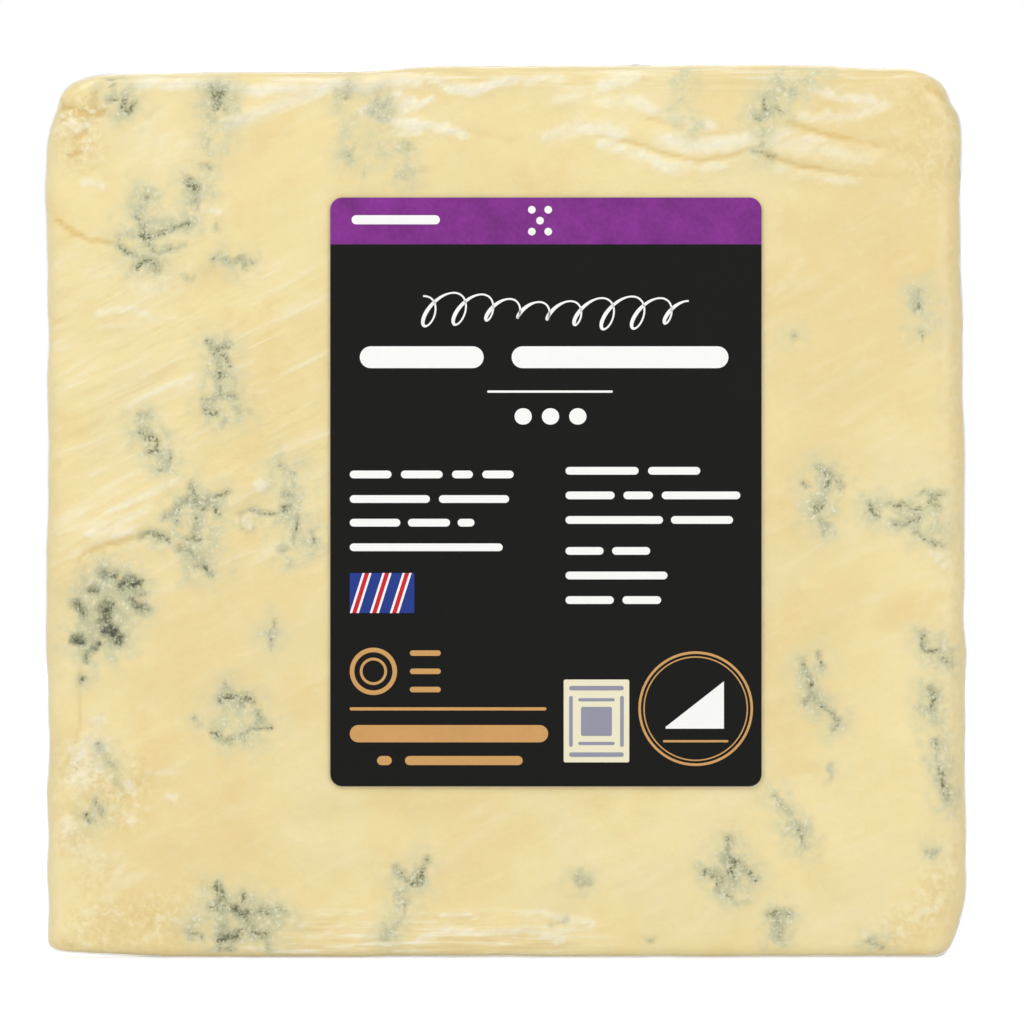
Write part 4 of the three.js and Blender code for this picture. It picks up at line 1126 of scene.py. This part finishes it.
def cheese():
    """The wedge's surface, raised by its unevenness, a fine grain, crumbs and rough rind, and cut
    by pits 0.32 mm deep along the veins."""
    steps = [front_steps(0.37, 0.6), even(7), even(32), even(7), even(84), even(14)]
    grid = wedge_grid(CHEESE_INSET, steps, 234)
    normal = outward(grid)
    x, z = grid[..., 0], grid[..., 2]
    to_front, to_back, to_end = facing(normal)
    rind = rind_share(grid, normal)
    vein, bloom, sway = veins_and_bloom(grid, normal)
    mould = on_faces(grid, normal, FRONT_MOULD, BACK_MOULD, END_MOULD, sway=0.12 * sway[..., 0])
    torn = on_faces(grid, normal, FRONT_TORN, BACK_TORN, [], sway=0.5 * sway[..., 1])
    crease = creases(grid, normal, 1.0, 0.0, 0.06 * sway[..., 0])
    smear_sheen = smears(grid, normal, 1.2, 0.12 * sway[..., 1])

    # Where the film's streaks are painted into the paste as highlight and shade: slanting ones over
    # the cut faces, most beside the thin edge, and level ones along the base and the top edge.
    beside = smooth(-16, -22, x) * smooth(36, 46, z) * smooth(84, 74, z)
    slant_sheen = np.maximum(to_front * np.maximum(beside, 0.3), 0.35 * to_back)
    taut_sheen = to_front * smooth(7, 1.5, z) * smooth(14, 4, x) * smooth(-34, -24, x)
    taut_sheen = np.maximum(taut_sheen, 0.7 * to_front * smooth(94.5, 97, z) * smooth(-44, -40, x))

    grain = 0.014 * waves(grid, 2.6, 3)
    crumble = np.maximum(bloom, torn) * (0.06 * waves(grid, 1.4, 4) - 0.04)
    rough_rind = rind * (0.12 * waves(grid, 3.0, 5) + 0.08 * waves(grid, 1.5, 6) - 0.15)
    height = unevenness(grid, normal) + np.minimum(grain + np.minimum(crumble, 0.04), 0.045)
    height += np.minimum(rough_rind, 0.05)
    height += -0.32 * smooth(0.5, 0, vein) - 0.08 * crease - 0.07 * to_end
    surface = grid + normal * height[..., None]
    surface[..., 2] = np.maximum(surface[..., 2], CHEESE_INSET)
    piece = closed_skin("cheese_wedge", surface)
    for name, field in (("vein", vein), ("bloom", bloom), ("mould", mould), ("torn", torn),
                        ("crease", crease), ("smear_sheen", smear_sheen), ("rind", rind),
                        ("slant_sheen", slant_sheen), ("taut_sheen", taut_sheen)):
        keep_field(piece, name, field)
    piece.data.materials.append(cheese_material())
    return piece


# ---- The film ----------------------------------------------------------------------------

def film():
    """The wrapped outline with the same unevenness as the cheese, and a ridge 0.22 mm high along
    each of the film's joins. It is given its wall inwards."""
    steps = [front_steps(0.62, 0.9), even(6), even(28), even(6), even(115), even(10)]
    grid = wedge_grid(FILM_INSET, steps, 130)
    normal = outward(grid)
    joins = on_faces(grid, normal, [], BACK_JOINS, END_JOINS)
    height = unevenness(grid, normal) + 0.22 * joins
    slack = 0.55 * smears(grid, normal, 1.2) * (1 - label_room(grid))
    surface = grid + normal * height[..., None]
    surface[..., 2] = np.maximum(surface[..., 2], FILM_INSET)
    piece = closed_skin("film_skin", surface)
    keep_field(piece, "slack", np.maximum(slack, 0.8 * joins))
    piece.data.materials.append(film_material())
    wall = piece.modifiers.new("wall", "SOLIDIFY")
    wall.thickness = FILM_THICKNESS * MM
    wall.offset = -1
    return piece


# ---- The label ---------------------------------------------------------------------------
# Places on the label are millimetres from its lower left corner. A mark is a strip: its lower
# and upper edge, and whether it closes on itself.

LABEL_WIDTH = label_high[0] - label_low[0]
LABEL_HEIGHT = label_high[2] - label_low[2]
LABEL_THICKNESS = label_high[1] - label_low[1]
LABEL_RADIUS = 1.4
PAPER_EDGE = 0.06       # bare paper left round the print
BAND_HEIGHT = 5.2
INK = 0.012             # thickness of each printed layer
WORD_HEIGHT = (0.1, 0.95)


def block(x0, z0, x1, z1, low_radius, high_radius):
    """An upright block, whose corners are quarter circles."""
    turn = np.linspace(0, math.pi / 2, 7)
    radius = max(low_radius, high_radius, 1e-3)
    ease_in = radius * (1 - np.cos(turn))
    inner = np.linspace(x0 + radius, x1 - radius, max(2, int((x1 - x0) / 1.5)))[1:-1]
    x = np.concatenate([x0 + ease_in, inner, (x1 - ease_in)[::-1]])
    near = np.clip(np.minimum(x - x0, x1 - x), 0, radius)
    drop = radius - np.sqrt(np.maximum(radius ** 2 - (radius - near) ** 2, 0))
    low = np.stack([x, z0 + drop * (low_radius / radius)], -1)
    high = np.stack([x, z1 - drop * (high_radius / radius)], -1)
    return low, high, False


def bar(x0, z0, x1, z1):
    """A block with fully round ends."""
    radius = 0.499 * min(z1 - z0, x1 - x0)
    return block(x0, z0, x1, z1, radius, radius)


def hoop(x, z, radius, width, sides):
    """A ring, as its inner and outer circle."""
    angle = -TAU * np.arange(sides) / sides
    ray = np.stack([np.cos(angle), np.sin(angle)], -1)
    middle = np.array([x, z])
    return middle + (radius - width) * ray, middle + radius * ray, True


def dot(x, z, radius):
    """A disc, as its lower and upper half circle."""
    angle = np.linspace(math.pi * 0.98, math.pi * 0.02, 15)
    low = np.stack([x + radius * np.cos(angle), z - radius * np.sin(angle)], -1)
    high = np.stack([x + radius * np.cos(angle), z + radius * np.sin(angle)], -1)
    return low, high, False


def words(x0, x1, z0, z1, letters):
    """A line of blank word bars, spread like words of those lengths from x0 to x1."""
    space = 0.9
    unit = (x1 - x0) / (sum(letters) + space * (len(letters) - 1))
    marks = []
    for count in letters:
        marks.append(bar(x0, z0, x0 + count * unit, z1))
        x0 += (count + space) * unit
    return marks


def small_words(x0, lines):
    """Lines of small word bars that all start at x0, from (height, end, letters)."""
    low, high = WORD_HEIGHT
    return [mark for z, end, letters in lines for mark in words(x0, end, z + low, z + high, letters)]


def flourish():
    """A blank pen flourish: a line of leaning loops that swell and fade, like no letters. The
    path is a straight run plus a turning circle, and the pen is wider on the way down."""
    t = np.linspace(0, 1, 420)
    turn = TAU * 9 * t
    size = 1.0 + 0.35 * np.sin(TAU * 1.5 * t + 0.6)
    x = 9.6 + 29.4 * t + 0.95 * size * np.sin(turn) + 0.55 * size * np.cos(turn)
    z = 52.3 + 1.35 * size * np.cos(turn) + 0.25 * np.sin(TAU * t)
    path = np.stack([x, z], -1)
    run = np.gradient(path, axis=0)
    aside = np.stack([-run[:, 1], run[:, 0]], -1)
    aside /= np.linalg.norm(aside, axis=1)[:, None]
    aside *= (0.10 + 0.11 * np.clip(np.cos(turn + 1.9), 0, 1))[:, None]
    return path - aside, path + aside, False


def label_bow(x):
    """How far the label stands out, mm: it bows by a few hundredths as the film does."""
    share = (x - LABEL_WIDTH / 2) / LABEL_WIDTH
    return 0.05 * (1 - 4 * share ** 2) + 0.012 * np.sin(x * 0.33 + 1.0)


def label_piece(name, marks, back, front, material):
    """Each mark is a strip between two edges, made a closed solid from back to front, in mm
    out from the label's own back face."""
    points, quads, count = [], [], 0
    for low, high, closed in marks:
        k = len(low)
        corner = []
        for edge, depth in ((low, front), (high, front), (high, back), (low, back)):
            y = label_high[1] - depth - label_bow(edge[:, 0])
            corner.append(np.stack([edge[:, 0] + label_low[0], y, edge[:, 1] + label_low[2]], -1))
        points.append(np.stack(corner, 1).reshape(-1, 3))
        i = np.arange(k if closed else k - 1)[:, None]
        s = np.arange(4)[None, :]
        nxt, side = (i + 1) % k, (s + 1) % 4
        walls = np.stack([i * 4 + s, nxt * 4 + s, nxt * 4 + side, i * 4 + side], -1).reshape(-1, 4)
        quads.append(walls + count)
        if not closed:
            ends = np.array([[0, 1, 2, 3], [4 * k - 1, 4 * k - 2, 4 * k - 3, 4 * k - 4]])
            quads.append(ends + count)
        count += 4 * k
    piece = mesh_object(name, np.concatenate(points), np.concatenate(quads), shade_smooth=False)
    piece.data.materials.append(material)
    return piece


def printed(name, marks, layer, ink):
    """Marks as one layer of ink, counted from 0 on the bare paper."""
    back = LABEL_THICKNESS + layer * INK
    return label_piece(name, marks, back, back + INK, ink)


def white_marks():
    """The band's bar and five dots, the flourish, the title, three dots, and two columns of
    small words."""
    marks = words(2.4, 12.1, 61.8, 62.8, (8,))
    marks += [dot(23.1 + dx, 62.2 + dz, 0.42)
              for dx, dz in ((-0.9, 1.2), (0.9, 1.2), (0, 0), (-0.9, -1.2), (0.9, -1.2))]
    marks += [flourish()]
    marks += words(3.3, 43.8, 46.0, 48.4, (4, 7))
    marks += [bar(17.3, 43.3, 31.1, 43.55)]
    marks += [bar(x, 39.8, x + 1.9, 41.6) for x in (20.3, 23.3, 26.3)]
    marks += small_words(2.2, ((33.8, 20.2, (4, 4, 2, 3)), (31.1, 19.7, (8, 7)),
                               (28.5, 15.9, (6, 5, 2)), (25.8, 19.0, (15,))))
    marks += small_words(25.9, ((34.2, 40.7, (7, 5)), (31.5, 45.1, (5, 3, 8)),
                                (28.8, 44.3, (11, 7)), (25.4, 35.2, (4, 4)),
                                (22.7, 37.1, (11,)), (20.0, 36.4, (5, 4))))
    return marks


def gold_marks():
    """A double ring with three bars, a rule, two lines of words, and the round seal's rings."""
    marks = [hoop(4.8, 12.7, 2.6, 0.5, 48), hoop(4.8, 12.7, 1.5, 0.3, 40)]
    marks += [bar(8.8, z, 12.2, z + 0.6) for z in (10.4, 12.4, 14.4)]
    marks += [bar(2.2, 8.4, 23.8, 8.75)]
    marks += words(2.2, 24.0, 4.9, 6.8, (8,))
    marks += words(5.2, 21.2, 2.4, 3.4, (1, 8))
    marks += [hoop(40.2, 8.6, 6.3, 0.28, 64), hoop(40.2, 8.6, 5.75, 0.14, 64)]
    marks += [bar(36.6, 4.9, 43.8, 5.15)]
    return marks


def badge_marks():
    """A broken frame, two rules and a block, for the cream badge."""
    marks = [bar(26.3, z, 32.3, z + 0.5) for z in (10.6, 3.3)]
    marks += [bar(x, 4.4, x + 0.4, 10.0) for x in (26.3, 31.9)]
    marks += [block(27.6, 5.6, 31.0, 8.8, 0.2, 0.2)]
    marks += [bar(27.3, z, 31.3, z + 0.35) for z in (4.6, 9.4)]
    return marks


def seal_wedge():
    """A plain wedge, rising to the right."""
    x = np.linspace(36.9, 43.3, 12)
    low = np.stack([x, np.full(12, 6.4)], -1)
    high = np.stack([x, 6.6 + 5.0 * (x - x[0]) / (x[-1] - x[0])], -1)
    return low, high, False


def tag_bands(half):
    """Three slanting bands across the tag, `half` mm either side of their middles."""
    rise = np.linspace(0, 1, 5)
    bands = []
    for foot in (3.4, 5.6, 7.8):
        left = line(np.array([foot - half - 0.7, 19.1]), np.array([foot - half + 0.7, 23.5]), rise)
        bands.append((left + [2 * half, 0], left, False))
    return bands


def label():
    """The paper, its black field and purple band, and the marks printed on them."""
    grain = print_grain_group()
    paper, black, purple, white, gold, cream, slate, blue, red = (
        print_material(name, grain, ink, mottle, roughness)
        for name, ink, mottle, roughness in (
            ("label_paper", (206, 190, 160), 0.06, 0.6),
            ("black_print", (20, 20, 19), 0.35, 0.45),
            ("purple_print", (128, 51, 138), 1.3, 0.45),
            ("white_print", (248, 248, 245), 0.05, 0.5),
            ("gold_print", (206, 158, 98), 0.25, 0.42),
            ("cream_print", (238, 232, 202), 0.08, 0.5),
            ("slate_print", (150, 150, 168), 0.15, 0.5),
            ("blue_print", (40, 62, 140), 0.15, 0.45),
            ("red_print", (206, 42, 52), 0.15, 0.45)))
    w, h, edge = LABEL_WIDTH, LABEL_HEIGHT, PAPER_EDGE
    corner = LABEL_RADIUS - edge
    split = h - BAND_HEIGHT
    sheet = block(0, 0, w, h, LABEL_RADIUS, LABEL_RADIUS)
    field = block(edge, edge, w - edge, split, corner, 0)
    band = block(edge, split, w - edge, h - edge, 0, corner)
    badge = block(25.7, 2.7, 32.9, 11.8, 0.2, 0.2)
    tag = block(2.2, 19.1, 9.3, 23.5, 0.1, 0.1)
    return [
        label_piece("label_paper", [sheet], 0, LABEL_THICKNESS, paper),
        printed("label_black_field", [field], 0, black),
        printed("label_purple_band", [band], 0, purple),
        printed("label_white_marks", white_marks(), 1, white),
        printed("label_gold_marks", gold_marks(), 1, gold),
        printed("label_seal_wedge", [seal_wedge()], 1, white),
        printed("label_cream_badge", [badge], 1, cream),
        printed("label_badge_marks", badge_marks(), 2, slate),
        printed("label_tag_field", [tag], 1, blue),
        printed("label_tag_bands", tag_bands(0.5), 2, white),
        printed("label_tag_cores", tag_bands(0.24), 3, red),
    ]


# ---- Studio ------------------------------------------------------------------------------

def white_surroundings():
    """A white world that is bright to the eye and in mirrors, and softer as a light."""
    world = bpy.data.worlds.new("studio")
    bpy.context.scene.world = world
    world.use_nodes = True
    world.node_tree.nodes.clear()
    b = Bench(world.node_tree)
    seen, lit = (b.node("ShaderNodeBackground", {"Color": (1, 1, 1, 1), "Strength": strength})
                 for strength in (1.0, 0.62))
    path = b.node("ShaderNodeLightPath").outputs
    straight = b.maths("MAXIMUM", path["Is Camera Ray"], path["Is Glossy Ray"])
    output = b.node("ShaderNodeOutputWorld").inputs["Surface"]
    b.feed(output, b.mix(straight, lit.outputs[0], seen.outputs[0]))


def softbox(name, place, size, power):
    """A square area light that looks at a point 50 mm above the floor's middle."""
    light = bpy.data.lights.new(name, "AREA")
    light.shape = "RECTANGLE"
    light.size, light.size_y = size, size
    light.energy = power
    thing = bpy.data.objects.new(name, light)
    bpy.context.scene.collection.objects.link(thing)
    thing.location = place
    aim = -thing.location
    aim.z += 0.05
    thing.rotation_euler = aim.to_track_quat("-Z", "Y").to_euler()


def floor():
    """A pale disc, 8 m across its radius, that glows: fully to the eye, so that it has no
    horizon, and a little as a light, so that the base isn't dark."""
    rings = np.array([0.0005, 0.3, 1.0, 3.0, 8.0])
    sides = 48
    turn = np.linspace(0, TAU, sides + 1)[:-1]
    disc = np.stack([rings[:, None] * np.cos(turn), rings[:, None] * np.sin(turn),
                     np.full((len(rings), sides), -0.00002)], -1)
    i = np.arange(len(rings) - 1)[:, None] * sides
    j = np.arange(sides)[None, :]
    k = (j + 1) % sides
    quads = np.stack([i + j, i + sides + j, i + sides + k, i + k], -1)
    piece = mesh_object("floor", disc.reshape(-1, 3), quads, scale=1)
    material, b, surface = new_material("pale_floor")

    def glowing_board(grey, glow):
        board = b.node("ShaderNodeBsdfDiffuse", {"Color": (grey, grey, grey, 1)})
        light = b.node("ShaderNodeEmission", {"Color": (1, 1, 1, 1), "Strength": glow})
        return b.node("ShaderNodeAddShader", {0: board.outputs[0], 1: light.outputs[0]}).outputs[0]

    seen = b.node("ShaderNodeLightPath").outputs["Is Camera Ray"]
    b.feed(surface, b.mix(seen, glowing_board(0.6, 0.3), glowing_board(0.35, 0.8)))
    piece.data.materials.append(material)
    return piece


def studio():
    """White surroundings, a pale floor lit softly from below, and three large soft lights."""
    bpy.context.scene.view_settings.view_transform = "Standard"
    white_surroundings()
    softbox("key_softbox", (-0.55, -0.75, 1.05), 0.8, 5.7)
    softbox("front_softbox", (0.9, -1.6, 0.35), 1.2, 7.1)
    softbox("back_softbox", (0.2, 1.5, 0.9), 0.7, 5.0)
    floor()


def camera():
    """Square on to the labelled cut face, from far enough away to see it nearly flat."""
    view = bpy.data.cameras.new("camera")
    view.lens = 300
    view.sensor_width = 36
    view.clip_start = 0.01
    view.clip_end = 50
    thing = bpy.data.objects.new("camera", view)
    bpy.context.scene.collection.objects.link(thing)
    seen_width = 112.5
    distance = seen_width * view.lens / view.sensor_width
    middle_x, middle_z = 0.6, 49.1
    thing.location = np.array([middle_x, film_low[1] - distance, middle_z]) * MM
    thing.rotation_euler = (math.pi / 2, 0, 0)
    bpy.context.scene.camera = thing


# ---- Assembly ----------------------------------------------------------------------------

camera()
studio()

wedge = cheese()
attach(wedge, "root")
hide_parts("cheese")

skin = film()
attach(skin, "root")
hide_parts("film_wrap")

for part in label():
    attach(part, "root")
    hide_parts("label")
